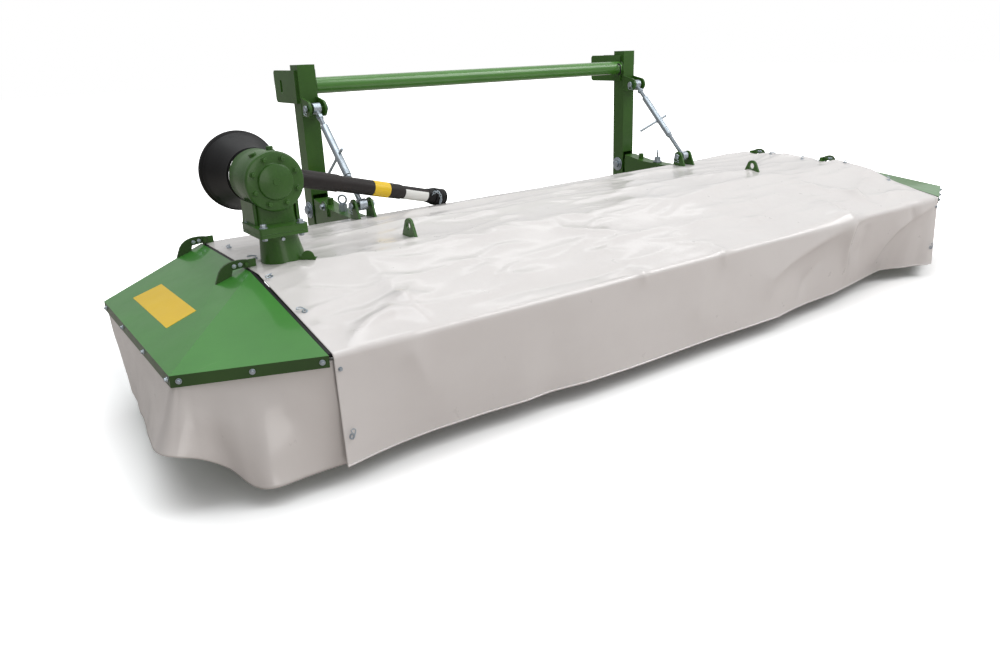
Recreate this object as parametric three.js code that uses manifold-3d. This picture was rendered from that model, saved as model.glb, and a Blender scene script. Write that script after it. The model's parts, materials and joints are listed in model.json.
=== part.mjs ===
// A front-mounted disc mower: cutter bar with eight discs under a folding guard, a drive gearbox,
// hinged end guards, and a tilting headstock held by two turnbuckles.
// Millimetres. +X runs along the cutter bar, +Y towards the tractor, +Z up, floor at z = 0.
import * as THREE from "three";
import { mergeVertices } from "three/addons/utils/BufferGeometryUtils.js";
import Module from "manifold-3d";

const wasm = await Module();
wasm.setup();

// ---- Driving dimensions ------------------------------------------------------------------
const HITCH_REACH = 895; // from the middle of the machine to its foremost and rearmost points
const GAP = 0.3; // between pieces that rest on one another
const PIN_CLEARANCE = 0.6; // between a pin and the bore that turns on it

// Cutter bar and discs
const DISC_COUNT = 8;
const DISC_PITCH = 423;
const DISC_Y = -225; // the line of disc centres, and of the gearbox's upright shaft
const BAR_DEPTH = 300;
const BAR_BOTTOM_Z = 30;
const BAR_TOP_Z = 65;
const BAR_BEVEL = 28;
const CARRIER_FOOT_HEIGHT = 22;
const SKID_SOLE = 9;
const SKID_RISE = 46; // how high the toe of a skid curls up
const SKID_TOE = 34; // how far the toe reaches ahead of the bar
const SKID_CURL = 70; // length of the curl behind the bar's front edge
const SKID_WIDTH = 300;
const SKID_TAIL = 190; // how far a skid reaches behind the bar
const DISC_UNDERSIDE_Z = 82;
const DISC_LONG_R = 180;
const DISC_SHORT_R = 140;
const DISC_THICKNESS = 12;
const HUB_R = 40;
const HUB_DROP = 8; // how far a hub reaches below its disc
const BLADE_TIP_R = 243;
const BLADE_WIDTH = 46;
const BLADE_THICKNESS = 4;
const BLADE_DROP = 2; // gap between a disc's rim and the blade under it
const HAT_HEIGHT = 190;
const HAT_FOOT_R = 126;
const HAT_TOP_R = 95;
const HAT_WALL = 7;
const CAP_HEIGHT = 26;
const DRIVE_TUBE_R = 30; // the upright shaft that turns the first disc

// Main beam, carriers and deck
const DECK_TOP_Z = 505;
const BEAM_TOP_Z = DECK_TOP_Z - 27;
const BEAM_SIZE = 100;
const BEAM_WALL = 8;
const BEAM_HALF_LENGTH = 1480;
const BEAM_FRONT_Y = 241.3;
const CARRIER_X = 1420;
const CARRIER_THICKNESS = 24;
const CARRIER_FRONT_Y = 36;
const DECK_HALF_WIDTH = 1594;
const DECK_THICKNESS = 5;
const DECK_FRONT_Y = -308;
const DECK_REAR_Y = 241;
const DECK_REAR_LIP = 85;
const FABRIC = 3;

// Folding front cover
const COVER_HINGE_Y = -330;
const COVER_HINGE_Z = DECK_TOP_Z - 11;
const COVER_HINGE_R = 8;
const COVER_EYE_R = 11;
const CURTAIN_LEAN = 18; // how far the front curtain's foot stands ahead of the cover
const COVER_FRONT_Y = CURTAIN_LEAN - HITCH_REACH;
const COVER_FRONT_Z = DECK_TOP_Z - 110;
const COVER_REAR_Z = DECK_TOP_Z + 4;
const COVER_TUBE_R = 15;
const COVER_ARM_X = 1370;
const COVER_ARM_WIDTH = 30;
const COVER_ARM_HEIGHT = 22;
const COVER_ROD_OVERHANG = 25; // of the hinge rod past the outer arms
const COVER_EAR_OFFSET = 14; // from an arm's side to the middle of a hinge ear
const COVER_EAR_THICKNESS = 16;
const CURTAIN_FOOT_Y = -HITCH_REACH;
const CURTAIN_FOOT_Z = 60;
const CURTAIN = 4;
const CURTAIN_OVERHANG = 6; // of the front curtain past the deck's ends

// End guards
const GUARD_INNER_X = 1612;
const GUARD_OUTER_X = 1983;
const GUARD_OUTER_Z = DECK_TOP_Z - 124;
const GUARD_SHEET = 4;
const GUARD_LIP = 34;
const GUARD_FRONT_OUTER_Y = COVER_FRONT_Y + 176;
const GUARD_REAR_OUTER_Y = 158;
const GUARD_REAR_INNER_Y = 236;
const GUARD_CREASE_Y = -302; // where the level part of a guard's upper face folds down to the front
const GUARD_HINGE_X = 1606;
const GUARD_HINGE_Z = DECK_TOP_Z + 20;
const GUARD_PIN_R = 6;
const GUARD_EAR_R = 10;
const GUARD_EAR_THICKNESS = 8;
const HINGE_FOOT_X = GUARD_INNER_X - 42; // where a hinge ear's foot starts on the deck
const GUARD_ARM_R = 14;
const GUARD_ARM_Y = [-246, 216];
const GUARD_ARM_THICKNESS = 10;
const END_CURTAIN_FLARE = 50; // how far its foot stands out sideways
const END_CURTAIN_SWELL = 22; // and forwards
const END_CURTAIN_MID_X = 1800;
const END_CURTAIN_MID_SET = 88; // how far back its middle stands
const END_CURTAIN_SIDE_Y = -260;
const END_CURTAIN_LOW_Z = 75;
const END_CURTAIN_HIGH_Z = 165;

// Drive gearbox and its guard
const HOUSING_R = 92;
const HOUSING_FRONT_Y = -245;
const HOUSING_REAR_Y = -75;
const NECK_R = 45;
const NECK_END_Y = 30;
const RING_R = 97;
const RING_THICKNESS = 23;
const FRONT_DISC_R = 57;
const FRONT_DISC_THICKNESS = 8;
const SADDLE_HALF_WIDTH = 68;
const RIB_X = 45;
const RIB_HALF = 5;
const PLUG_X = 30;
const FLANGE_Z = DECK_TOP_Z + 115;
const INPUT_Z = FLANGE_Z + 158;
const FLANGE_THICKNESS = 20;
const FLANGE_SIZE = 178;
const PEDESTAL_TOP_R = 59;
const PEDESTAL_FOOT_R = 80;
const SLEEVE_R = 50;
const SLEEVE_FOOT_Z = DECK_TOP_Z - 105;
const CONE_FRONT_Y = -25;
const CONE_RIM_Y = 95;
const CONE_FRONT_R = 72;
const CONE_RIM_R = 140;
const CONE_WALL = 5;

// Drive shaft, lifted about the universal joint
const JOINT_Y = 120;
const SHAFT_AZIMUTH_DEG = 9.1;
const SHAFT_GUARD_R = 35;
const SHAFT_STEP = 455;
const SHAFT_INNER_R = 28.5;
const SHAFT_LENGTH = 985;
const SHAFT_END_R = 38;
const SHAFT_END_LENGTH = 95;
const SHAFT_PASS = 82.65; // how far it has run to the rear where it passes over the left bracket
const YOKE_PIN_R = 9;
const YOKE_PIN_HALF = 42;
const YOKE_EAR_WIDTH = 28;
const YOKE_EAR_FROM = 36; // from the shaft's line to an ear's inner and outer face
const YOKE_EAR_TO = 46;
const CROSS_HALF = 23;
const SHAFT_EAR_FROM = 24;
const SHAFT_EAR_TO = 34;
const SHAFT_EAR_R = 15;
const SHAFT_HUB_START = 62;
const SHAFT_HUB_END = 96;

// Headstock
const POST_X = 964.5;
const POST_SIZE = 80;
const POST_WALL = 6;
const POST_Y = 672;
const POST_TOP_Z = 1119;
const PIVOT_Z = BEAM_TOP_Z + 9;
const POST_FOOT_Z = PIVOT_Z - 82;
const POST_SLOT_TOP_Z = PIVOT_Z + 73;
const PIVOT_PIN_R = 14;
const PIVOT_HEAD_R = 38;
const PIVOT_HEAD_THICKNESS = 12;
const PIVOT_NUT_R = 20;
const PIVOT_NUT_HEIGHT = 8;
const CROSS_TUBE_R = 35;
const CROSS_TUBE_WALL = 6;
const CROSS_TUBE_Z = POST_TOP_Z - 90;
const HITCH_REAR_Y = HITCH_REACH;
const HITCH_HIGH_Z = POST_TOP_Z - 22;
const HITCH_LOW_Z = HITCH_HIGH_Z - 140;
const HITCH_THICKNESS = 10;
const HITCH_SLOT_Y = 815;
const HITCH_SLOT_WIDTH = 22;
const HITCH_SLOT_HEIGHT = 60;

// Lower arms
const ARM_WIDTH = 75;
const ARM_TONGUE_WIDTH = 60;
const ARM_TONGUE_R = 26;
const ARM_BACK_Y = 615;
const ARM_FOOT_Z = PIVOT_Z - 55;
const ARM_NECK_Y = 479; // where the arm starts to rise towards its end
const ARM_KNEE_Y = 350;
const ARM_TOP_Z = { back: PIVOT_Z + 58, neck: PIVOT_Z + 34, knee: PIVOT_Z + 27, front: PIVOT_Z + 25 };
const STOP_Y = 520; // the peg on an arm that a post comes to rest against
const STOP_R = 14;
const STOP_TOP_Z = PIVOT_Z + 69;
const RING_BOLT_Y = 392;
const RING_BOLT_R = 18;
const RING_BOLT_WIRE_R = 4.5;
const RING_BOLT_Z = PIVOT_Z + 79;

// Turnbuckles
const LUG_SPREAD = 36; // half the distance between the two plates that hold a turnbuckle's eye
const LUG_THICKNESS = 10;
const LOWER_PIN_Y = 205;
const LOWER_PIN_Z = DECK_TOP_Z + 64;
const UPPER_PIN_Y = 573;
const UPPER_PIN_Z = HITCH_LOW_Z - 19;
const UPPER_LUG_R = 34;
const LINK_PIN_R = 10;
const LINK_PIN_OVERHANG = 9; // of a pin past the outer faces it goes through
const BRACKET_R = 26;
const EYE_R = 24;
const EYE_WIDTH = 36;
const LOWER_EYE_CLEARANCE = 0.6;
const UPPER_EYE_CLEARANCE = 4;
const BARREL_R = 16.5;
const BARREL_BORE_R = 11.2;
const BARREL_START = 100; // measured down from the upper pin
const BARREL_LENGTH = 270;
const ROD_R = 10.5;
const ROD_IN_BARREL = 90;
const NUT_AT = 42; // from the barrel's upper end to the lock nut
const NUT_HEIGHT = 16;
const NUT_R = 16;
const HANDLE_AT = 263;
const HANDLE_R = 6;
const HANDLE_LONG = 120;
const HANDLE_SHORT = 45;
const HANDLE_TURN_DEG = { right: 45, left: -8 }; // each handle's turn about its barrel

// Lifting lugs on the deck
const LIFT_LUG_X = 989;
const LIFT_LUG_Y = [-288, -180];
const LIFT_LUG_TOP_Z = DECK_TOP_Z + 76;
const LIFT_LUG_R = 28;
const LIFT_LUG_THICKNESS = 12;
const LIFT_HOLE_R = 14;

// ---- Materials ---------------------------------------------------------------------------
const paint = (color, roughness = 0.45, metalness = 0.1) =>
  new THREE.MeshStandardMaterial({ color, roughness, metalness });
const FRAME_GREEN = paint(0x3d6b31);
const SHEET_GREEN = paint(0x5d8f52);
const BLACK_PLASTIC = paint(0x232326, 0.6, 0);
const ZINC = paint(0xaab8c2, 0.35, 0.8);
const STEEL = paint(0x8d8f92, 0.4, 0.8);
const CAST = paint(0x3a6a34, 0.55, 0.2);
const WHITE_FABRIC = paint(0xe9e7e6, 0.85, 0);
const GREY_FABRIC = paint(0xc3bdb8, 0.85, 0);

// ---- Shapes ------------------------------------------------------------------------------
const rad = THREE.MathUtils.degToRad;

function solid(geometry) {
  const bare = geometry.clone();
  bare.deleteAttribute("normal");
  bare.deleteAttribute("uv");
  const merged = mergeVertices(bare, 1e-4);
  const made = new wasm.Manifold(
    new wasm.Mesh({
      numProp: 3,
      vertProperties: merged.attributes.position.array,
      triVerts: new Uint32Array(merged.index.array),
    }),
  );
  return made;
}

function geometryOf(manifold) {
  const m = manifold.getMesh();
  const xyz = new Float32Array(m.numVert * 3);
  for (let i = 0; i < m.numVert; i++)
    xyz.set(m.vertProperties.subarray(i * m.numProp, i * m.numProp + 3), i * 3);
  return new THREE.BufferGeometry()
    .setAttribute("position", new THREE.BufferAttribute(xyz, 3))
    .setIndex(new THREE.BufferAttribute(new Uint32Array(m.triVerts), 1));
}

const join = (...parts) => geometryOf(parts.map(solid).reduce((a, b) => a.add(b)));
const cut = (body, ...tools) =>
  geometryOf(tools.map(solid).reduce((a, b) => a.subtract(b), solid(body)));

function box(x, y, z) {
  const [[x0, x1], [y0, y1], [z0, z1]] = [x, y, z];
  return new THREE.BoxGeometry(x1 - x0, y1 - y0, z1 - z0).translate(
    (x0 + x1) / 2,
    (y0 + y1) / 2,
    (z0 + z1) / 2,
  );
}

// A round bar from one point to another, with more sides the thicker it is.
function bar(from, to, r, sides = Math.round(9 + 13 * Math.min(1, r / 60)), rEnd = r) {
  const a = new THREE.Vector3(...from);
  const b = new THREE.Vector3(...to);
  const along = b.clone().sub(a);
  const g = new THREE.CylinderGeometry(rEnd, r, along.length(), sides);
  const turn = new THREE.Quaternion().setFromUnitVectors(
    new THREE.Vector3(0, 1, 0),
    along.clone().normalize(),
  );
  return g.applyQuaternion(turn).translate(...a.add(b).multiplyScalar(0.5).toArray());
}

// A flat outline in the YZ plane, given as [y, z] points, carried from x0 to x1.
function plateX(outline, x0, x1) {
  const shape = outline instanceof THREE.Shape ? outline : new THREE.Shape(points(outline));
  return new THREE.ExtrudeGeometry(shape, {
    depth: x1 - x0,
    bevelEnabled: false,
    curveSegments: 6,
  })
    .rotateX(Math.PI / 2)
    .rotateZ(Math.PI / 2)
    .translate(x0, 0, 0);
}

// A flat outline in the XZ plane, given as [x, z] points, carried from y0 to y1.
function plateY(outline, y0, y1) {
  const shape = outline instanceof THREE.Shape ? outline : new THREE.Shape(points(outline));
  return new THREE.ExtrudeGeometry(shape, { depth: y1 - y0, bevelEnabled: false, curveSegments: 6 })
    .rotateX(Math.PI / 2)
    .translate(0, y1, 0);
}

// A flat outline in the XY plane carried from z0 to z1.
function plateZ(outline, z0, z1) {
  const shape = outline instanceof THREE.Shape ? outline : new THREE.Shape(points(outline));
  return new THREE.ExtrudeGeometry(shape, {
    depth: z1 - z0,
    bevelEnabled: false,
    curveSegments: 9,
  }).translate(0, 0, z0);
}

const points = (list) => list.map(([a, b]) => new THREE.Vector2(a, b));

// A closed slab between two grids of points, each a list of rows.
function slab(upper, lower) {
  const rows = upper.length;
  const cols = upper[0].length;
  const xyz = [...upper.flat(), ...lower.flat()].flat();
  const at = (r, c, low) => (low ? rows * cols : 0) + r * cols + c;
  const faces = [];
  const quad = (a, b, c, d) => faces.push(a, b, c, a, c, d);
  for (let r = 0; r + 1 < rows; r++)
    for (let c = 0; c + 1 < cols; c++) {
      quad(at(r, c), at(r, c + 1), at(r + 1, c + 1), at(r + 1, c));
      quad(at(r, c, 1), at(r + 1, c, 1), at(r + 1, c + 1, 1), at(r, c + 1, 1));
    }
  for (let c = 0; c + 1 < cols; c++) {
    quad(at(0, c), at(0, c, 1), at(0, c + 1, 1), at(0, c + 1));
    quad(at(rows - 1, c + 1), at(rows - 1, c + 1, 1), at(rows - 1, c, 1), at(rows - 1, c));
  }
  for (let r = 0; r + 1 < rows; r++) {
    quad(at(r + 1, 0), at(r + 1, 0, 1), at(r, 0, 1), at(r, 0));
    quad(at(r, cols - 1), at(r, cols - 1, 1), at(r + 1, cols - 1, 1), at(r + 1, cols - 1));
  }
  const g = new THREE.BufferGeometry()
    .setAttribute("position", new THREE.Float32BufferAttribute(xyz, 3))
    .setIndex(faces);
  return faceOut(g);
}

// Turns a closed geometry's faces outwards.
function faceOut(g) {
  const p = g.attributes.position;
  const i = g.index;
  const [a, b, c] = [0, 1, 2].map(() => new THREE.Vector3());
  let volume = 0;
  for (let k = 0; k < i.count; k += 3) {
    a.fromBufferAttribute(p, i.getX(k));
    b.fromBufferAttribute(p, i.getX(k + 1));
    c.fromBufferAttribute(p, i.getX(k + 2));
    volume += a.dot(b.cross(c));
  }
  return volume < 0 ? reversed(g) : g;
}

function reversed(g) {
  const i = g.index;
  for (let k = 0; k < i.count; k += 3) {
    const second = i.getX(k + 1);
    i.setX(k + 1, i.getX(k + 2));
    i.setX(k + 2, second);
  }
  return g;
}

// The same piece on the other side of the machine's middle plane.
const mirrored = (g) =>
  reversed(geometryOf(solid(g)).applyMatrix4(new THREE.Matrix4().makeScale(-1, 1, 1)));

// ---- The assembly ------------------------------------------------------------------------
const group = new THREE.Group();

function add(name, geometry, material) {
  const mesh = new THREE.Mesh(geometry, material);
  mesh.name = name;
  group.add(mesh);
  return mesh;
}

// One piece on each side: built at +X, mirrored to -X.
function addPair(name, geometry, material) {
  add("right_" + name, geometry, material);
  add("left_" + name, mirrored(geometry), material);
}

const discX = (i) => (i - (DISC_COUNT - 1) / 2) * DISC_PITCH;
const liftLugX = [-1, 1].map((s) => LIFT_LUG_X + (s * LIFT_LUG_THICKNESS) / 2);
const gearboxX = -discX(0); // the gearbox stands over the first disc, at the left end
const barFrontY = DISC_Y - BAR_DEPTH / 2;
const barRearY = DISC_Y + BAR_DEPTH / 2;
const barEndX = discX(DISC_COUNT - 1) + HUB_R * 2;
const carrierRearY = BEAM_FRONT_Y + BEAM_SIZE;

function cutterBar() {
  const section = [
    [barFrontY, BAR_BOTTOM_Z],
    [barRearY, BAR_BOTTOM_Z],
    [barRearY, BAR_TOP_Z - BAR_BEVEL / 2],
    [barRearY - BAR_BEVEL, BAR_TOP_Z],
    [barFrontY + BAR_BEVEL * 2, BAR_TOP_Z],
    [barFrontY, BAR_BOTTOM_Z + 8],
  ];
  const bosses = [...Array(DISC_COUNT).keys()].map((i) =>
    bar(
      [discX(i), DISC_Y, BAR_TOP_Z - 10],
      [discX(i), DISC_Y, DISC_UNDERSIDE_Z - HUB_DROP - GAP],
      HUB_R - 4,
      28,
    ),
  );
  const feet = [-CARRIER_X, 0, CARRIER_X].map((x) =>
    box(
      [x - 45, x + 45],
      [barRearY - 5, CARRIER_FRONT_Y + 100],
      [BAR_BOTTOM_Z, BAR_BOTTOM_Z + CARRIER_FOOT_HEIGHT],
    ),
  );
  return join(plateX(section, -barEndX, barEndX), ...bosses, ...feet);
}

function skidShoes() {
  const top = BAR_BOTTOM_Z - GAP;
  const heel = barRearY + SKID_TAIL;
  const runner = new THREE.Shape();
  const toe = barFrontY - SKID_TOE;
  const curlEnd = barFrontY + SKID_CURL;
  runner.moveTo(toe, SKID_RISE);
  runner.quadraticCurveTo(toe + 12, 0, curlEnd, 0);
  runner.lineTo(heel, 0);
  runner.lineTo(heel, SKID_SOLE);
  runner.lineTo(curlEnd, SKID_SOLE);
  runner.quadraticCurveTo(toe + 22, SKID_SOLE, toe + SKID_SOLE, SKID_RISE);
  runner.closePath();
  const at = [...Array(DISC_COUNT).keys()].map(discX);
  const half = SKID_WIDTH / 2;
  const shoes = at.map((x) => plateX(runner, x - half, x + half));
  const blockY = [barFrontY + 60, barRearY];
  const blocks = at.map((x) => box([x - 60, x + 60], blockY, [SKID_SOLE - 1, top]));
  const strip = box([at[0], at[DISC_COUNT - 1]], [barRearY - 60, barRearY], [top - 8, top]);
  return join(...shoes, ...blocks, strip);
}

// A hollow drum that stands on an end disc, with three holes in its top.
function hat(z) {
  const frustum = (foot, head, low, high) => {
    const cone = new THREE.CylinderGeometry(head, foot, high - low, 16);
    return cone.rotateX(Math.PI / 2).translate(0, 0, (low + high) / 2);
  };
  const holes = [0, 1, 2].map((k) => {
    const turn = (k * 2 * Math.PI) / 3;
    const [x, y] = [Math.cos(turn) * 55, Math.sin(turn) * 55];
    return bar([x, y, z + HAT_HEIGHT - 20], [x, y, z + HAT_HEIGHT + 10], 10, 12);
  });
  return cut(
    frustum(HAT_FOOT_R, HAT_TOP_R, z, z + HAT_HEIGHT),
    frustum(HAT_FOOT_R - HAT_WALL, HAT_TOP_R - HAT_WALL, z - 1, z + HAT_HEIGHT - HAT_WALL),
    ...holes,
  );
}

function disc(i) {
  const top = DISC_UNDERSIDE_Z + DISC_THICKNESS;
  const plate = new THREE.Shape().absellipse(0, 0, DISC_LONG_R, DISC_SHORT_R, 0, 2 * Math.PI);
  const shallow = DISC_THICKNESS * 1.5;
  const dome = new THREE.CylinderGeometry(HUB_R * 1.6, DISC_SHORT_R * 0.94, shallow, 18)
    .rotateX(Math.PI / 2)
    .translate(0, 0, top + shallow / 2 - 1);
  const hub = bar([0, 0, DISC_UNDERSIDE_Z - HUB_DROP], [0, 0, top], HUB_R);
  const bladeTop = DISC_UNDERSIDE_Z - BLADE_DROP;
  const blades = [-1, 1].map((s) =>
    box(
      [s > 0 ? DISC_LONG_R - 50 : -BLADE_TIP_R, s > 0 ? BLADE_TIP_R : 50 - DISC_LONG_R],
      [-BLADE_WIDTH / 2, BLADE_WIDTH / 2],
      [bladeTop - BLADE_THICKNESS, bladeTop],
    ),
  );
  const boltAt = (s, z) => [s * (DISC_LONG_R - 24), 0, z];
  const boltLow = bladeTop - BLADE_THICKNESS - 4;
  const bolts = [-1, 1].map((s) => bar(boltAt(s, boltLow), boltAt(s, top), 11));
  const parts = [plateZ(plate, DISC_UNDERSIDE_Z, top), dome, hub, ...blades, ...bolts];
  const domeTop = top + shallow - 1;
  if (i === 0 || i === DISC_COUNT - 1) {
    parts.push(hat(top - 2));
    if (i === 0)
      parts.push(bar([0, 0, domeTop - 2], [0, 0, SLEEVE_FOOT_Z - GAP], DRIVE_TUBE_R));
  } else parts.push(bar([0, 0, domeTop - 2], [0, 0, domeTop + CAP_HEIGHT - 12], HUB_R * 0.9));
  const turned = join(...parts);
  // Neighbours stand a quarter turn apart, so that their blades pass between one another.
  return turned.rotateZ(i % 2 ? Math.PI / 2 : 0).translate(discX(i), DISC_Y, 0);
}

function mainBeam() {
  const y = [BEAM_FRONT_Y, BEAM_FRONT_Y + BEAM_SIZE];
  const z = [BEAM_TOP_Z - BEAM_SIZE, BEAM_TOP_Z];
  const inset = ([a, b]) => [a + BEAM_WALL, b - BEAM_WALL];
  return cut(
    box([-BEAM_HALF_LENGTH, BEAM_HALF_LENGTH], y, z),
    box([-BEAM_HALF_LENGTH - 1, BEAM_HALF_LENGTH + 1], inset(y), inset(z)),
  );
}

function carrier(x) {
  const foot = BAR_BOTTOM_Z + CARRIER_FOOT_HEIGHT + GAP;
  const top = BEAM_TOP_Z - BEAM_SIZE - GAP;
  const outline = [
    [CARRIER_FRONT_Y, foot],
    [CARRIER_FRONT_Y + 95, foot],
    [carrierRearY, top - 60],
    [carrierRearY, top],
    [BEAM_FRONT_Y, top],
    [CARRIER_FRONT_Y, foot + 60],
  ];
  return plateX(outline, x - CARRIER_THICKNESS / 2, x + CARRIER_THICKNESS / 2);
}

function deck() {
  const under = DECK_TOP_Z - DECK_THICKNESS;
  const width = [-DECK_HALF_WIDTH, DECK_HALF_WIDTH];
  const sheet = box(width, [DECK_FRONT_Y, DECK_REAR_Y], [under, DECK_TOP_Z]);
  const lip = box(
    width,
    [DECK_REAR_Y - DECK_THICKNESS, DECK_REAR_Y],
    [DECK_TOP_Z - DECK_REAR_LIP, DECK_TOP_Z],
  );
  const rodEnd = COVER_ARM_X + COVER_ARM_WIDTH / 2 + COVER_ROD_OVERHANG;
  const rodAt = (x) => [x, COVER_HINGE_Y, COVER_HINGE_Z];
  const rod = bar(rodAt(-rodEnd), rodAt(rodEnd), COVER_HINGE_R);
  const earOffset = COVER_ARM_WIDTH / 2 + COVER_EAR_OFFSET;
  const earX = [-1, 0, 1].flatMap((s) => [-1, 1].map((t) => s * COVER_ARM_X + t * earOffset));
  const earSpan = (x) => [x - COVER_EAR_THICKNESS / 2, x + COVER_EAR_THICKNESS / 2];
  const rootY = DECK_FRONT_Y + 25;
  const earZ = [COVER_HINGE_Z - 10, COVER_HINGE_Z + 3];
  const ears = earX.map((x) => box(earSpan(x), [COVER_HINGE_Y - 5, rootY], earZ));
  const risers = earX.map((x) =>
    box(earSpan(x), [DECK_FRONT_Y + 3, rootY], [COVER_HINGE_Z - 8, under + 1]),
  );
  const hole = bar([-gearboxX, DISC_Y, under - 5], [-gearboxX, DISC_Y, DECK_TOP_Z + 5], SLEEVE_R + 2, 20);
  return cut(join(sheet, lip, rod, ...ears, ...risers), hole);
}

// The white cloth on the deck, cut out round what stands on the deck.
function topCover() {
  const z = [DECK_TOP_Z + GAP, DECK_TOP_Z + GAP + FABRIC];
  const cloth = box([-DECK_HALF_WIDTH, DECK_HALF_WIDTH], [DECK_FRONT_Y, DECK_REAR_Y], z);
  const high = [z[0] - 2, z[1] + 2];
  const round = 2;
  const both = (x0, x1, y0, y1) => [
    box([x0 - round, x1 + round], [y0 - round, y1 + round], high),
    box([-x1 - round, -x0 + round], [y0 - round, y1 + round], high),
  ];
  const holes = [
    ...[-1, 1].flatMap((s) => {
      const x = POST_X + s * LUG_SPREAD;
      return both(x - LUG_THICKNESS / 2, x + LUG_THICKNESS / 2, ...bracketFoot);
    }),
    ...both(...liftLugX, ...LIFT_LUG_Y),
    ...GUARD_ARM_Y.flatMap((y) =>
      both(HINGE_FOOT_X, DECK_HALF_WIDTH + 5, y + earFrom, y + earTo),
    ),
    bar([-gearboxX, DISC_Y, high[0]], [-gearboxX, DISC_Y, high[1]], PEDESTAL_FOOT_R + round, 24),
  ];
  return cut(cloth, ...holes);
}

// ---- Gearbox -----------------------------------------------------------------------------
function pedestal() {
  const profile = [
    [0, SLEEVE_FOOT_Z],
    [SLEEVE_R, SLEEVE_FOOT_Z],
    [SLEEVE_R, DECK_TOP_Z + GAP],
    [PEDESTAL_FOOT_R, DECK_TOP_Z + GAP],
    [PEDESTAL_FOOT_R, DECK_TOP_Z + 14],
    [PEDESTAL_TOP_R + 8, DECK_TOP_Z + 36],
    [PEDESTAL_TOP_R, DECK_TOP_Z + 66],
    [PEDESTAL_TOP_R, FLANGE_Z],
    [0, FLANGE_Z],
  ];
  const upright = new THREE.LatheGeometry(points(profile), 24).rotateX(Math.PI / 2);
  return upright.translate(-gearboxX, DISC_Y, 0);
}

function gearHousing() {
  const low = FLANGE_Z + GAP;
  const half = FLANGE_SIZE / 2;
  const flange = box([-half, half], [DISC_Y - half, DISC_Y + half], [low, low + FLANGE_THICKNESS]);
  const body = bar([0, HOUSING_FRONT_Y, INPUT_Z], [0, HOUSING_REAR_Y, INPUT_Z], HOUSING_R, 24);
  const saddleY = [HOUSING_FRONT_Y + 4, DISC_Y + 70];
  const saddle = box([-SADDLE_HALF_WIDTH, SADDLE_HALF_WIDTH], saddleY, [low + 4, INPUT_Z - 40]);
  const at = (y) => [0, y, INPUT_Z];
  const taperEnd = CONE_FRONT_Y - 14;
  const taper = bar(at(HOUSING_REAR_Y - 1), at(taperEnd), HOUSING_R - 6, 24, NECK_R + 14);
  const neck = bar(at(HOUSING_REAR_Y), at(NECK_END_Y), NECK_R, 20);
  const ribY = [HOUSING_FRONT_Y + 2, DISC_Y + 84];
  const ribs = [-1, 1].map((s) =>
    box([s * RIB_X - RIB_HALF, s * RIB_X + RIB_HALF], ribY, [low + 8, INPUT_Z - 60]),
  );
  const plugAt = (rise) => [PLUG_X, DISC_Y + 60, INPUT_Z + HOUSING_R + rise];
  const plug = bar(plugAt(-20), plugAt(12), 11, 6);
  return join(flange, body, saddle, taper, neck, ...ribs, plug).translate(-gearboxX, 0, 0);
}

function gearboxFrontCover() {
  const back = HOUSING_FRONT_Y - GAP;
  const face = back - RING_THICKNESS;
  const ring = bar([0, back, INPUT_Z], [0, face, INPUT_Z], RING_R, 24);
  const raisedFace = face - FRONT_DISC_THICKNESS;
  const raised = bar([0, face + 1, INPUT_Z], [0, raisedFace, INPUT_Z], FRONT_DISC_R, 24);
  return join(ring, raised).translate(-gearboxX, 0, 0);
}

function driveCone() {
  const grip = NECK_R + GAP;
  const profile = [
    [grip, -CONE_FRONT_Y],
    [grip, -CONE_FRONT_Y - 20],
    [CONE_FRONT_R - CONE_WALL, -CONE_FRONT_Y - 20],
    [CONE_RIM_R - CONE_WALL - 12, -CONE_RIM_Y + 25],
    [CONE_RIM_R - CONE_WALL, -CONE_RIM_Y],
    [CONE_RIM_R, -CONE_RIM_Y],
    [CONE_RIM_R, -CONE_RIM_Y + 14],
    [CONE_RIM_R - 11, -CONE_RIM_Y + 29],
    [CONE_FRONT_R, -CONE_FRONT_Y],
    [grip, -CONE_FRONT_Y],
  ];
  const g = new THREE.LatheGeometry(points(profile), 28);
  g.deleteAttribute("normal");
  g.deleteAttribute("uv");
  return faceOut(mergeVertices(g, 1e-3)).rotateX(Math.PI).translate(-gearboxX, 0, INPUT_Z);
}

// The gearbox's own yoke, whose cross carries the drive shaft.
function inputYoke() {
  const at = (dy) => [0, JOINT_Y + dy, 0];
  const shaft = bar([0, NECK_END_Y + GAP, 0], at(-62), 20);
  const hub = bar(at(-85), at(-52), 34);
  const sideOf = (s, a, b) => (s > 0 ? [a, b] : [-b, -a]);
  const half = YOKE_EAR_WIDTH / 2;
  const width = [-half, half];
  const ears = [-1, 1].map((s) =>
    box(width, [JOINT_Y - 58, JOINT_Y + half], sideOf(s, YOKE_EAR_FROM, YOKE_EAR_TO)),
  );
  const webs = [-1, 1].map((s) =>
    box(width, [JOINT_Y - 75, JOINT_Y - 52], sideOf(s, 10, YOKE_EAR_TO)),
  );
  const pin = bar([0, JOINT_Y, -YOKE_PIN_HALF], [0, JOINT_Y, YOKE_PIN_HALF], YOKE_PIN_R);
  const across = shaftAcross.clone().multiplyScalar(CROSS_HALF);
  const cross = bar(
    [-across.x, JOINT_Y - across.y, 0],
    [across.x, JOINT_Y + across.y, 0],
    YOKE_PIN_R + 4,
    20,
  );
  return join(shaft, hub, ...ears, ...webs, pin, cross).translate(-gearboxX, 0, INPUT_Z);
}

// ---- Drive shaft -------------------------------------------------------------------------
// It lies at its own angle, or flatter where the left bracket would otherwise be in its way.
const azimuth = Math.min(rad(SHAFT_AZIMUTH_DEG), Math.atan2(SHAFT_PASS, gearboxX - POST_X));
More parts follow.
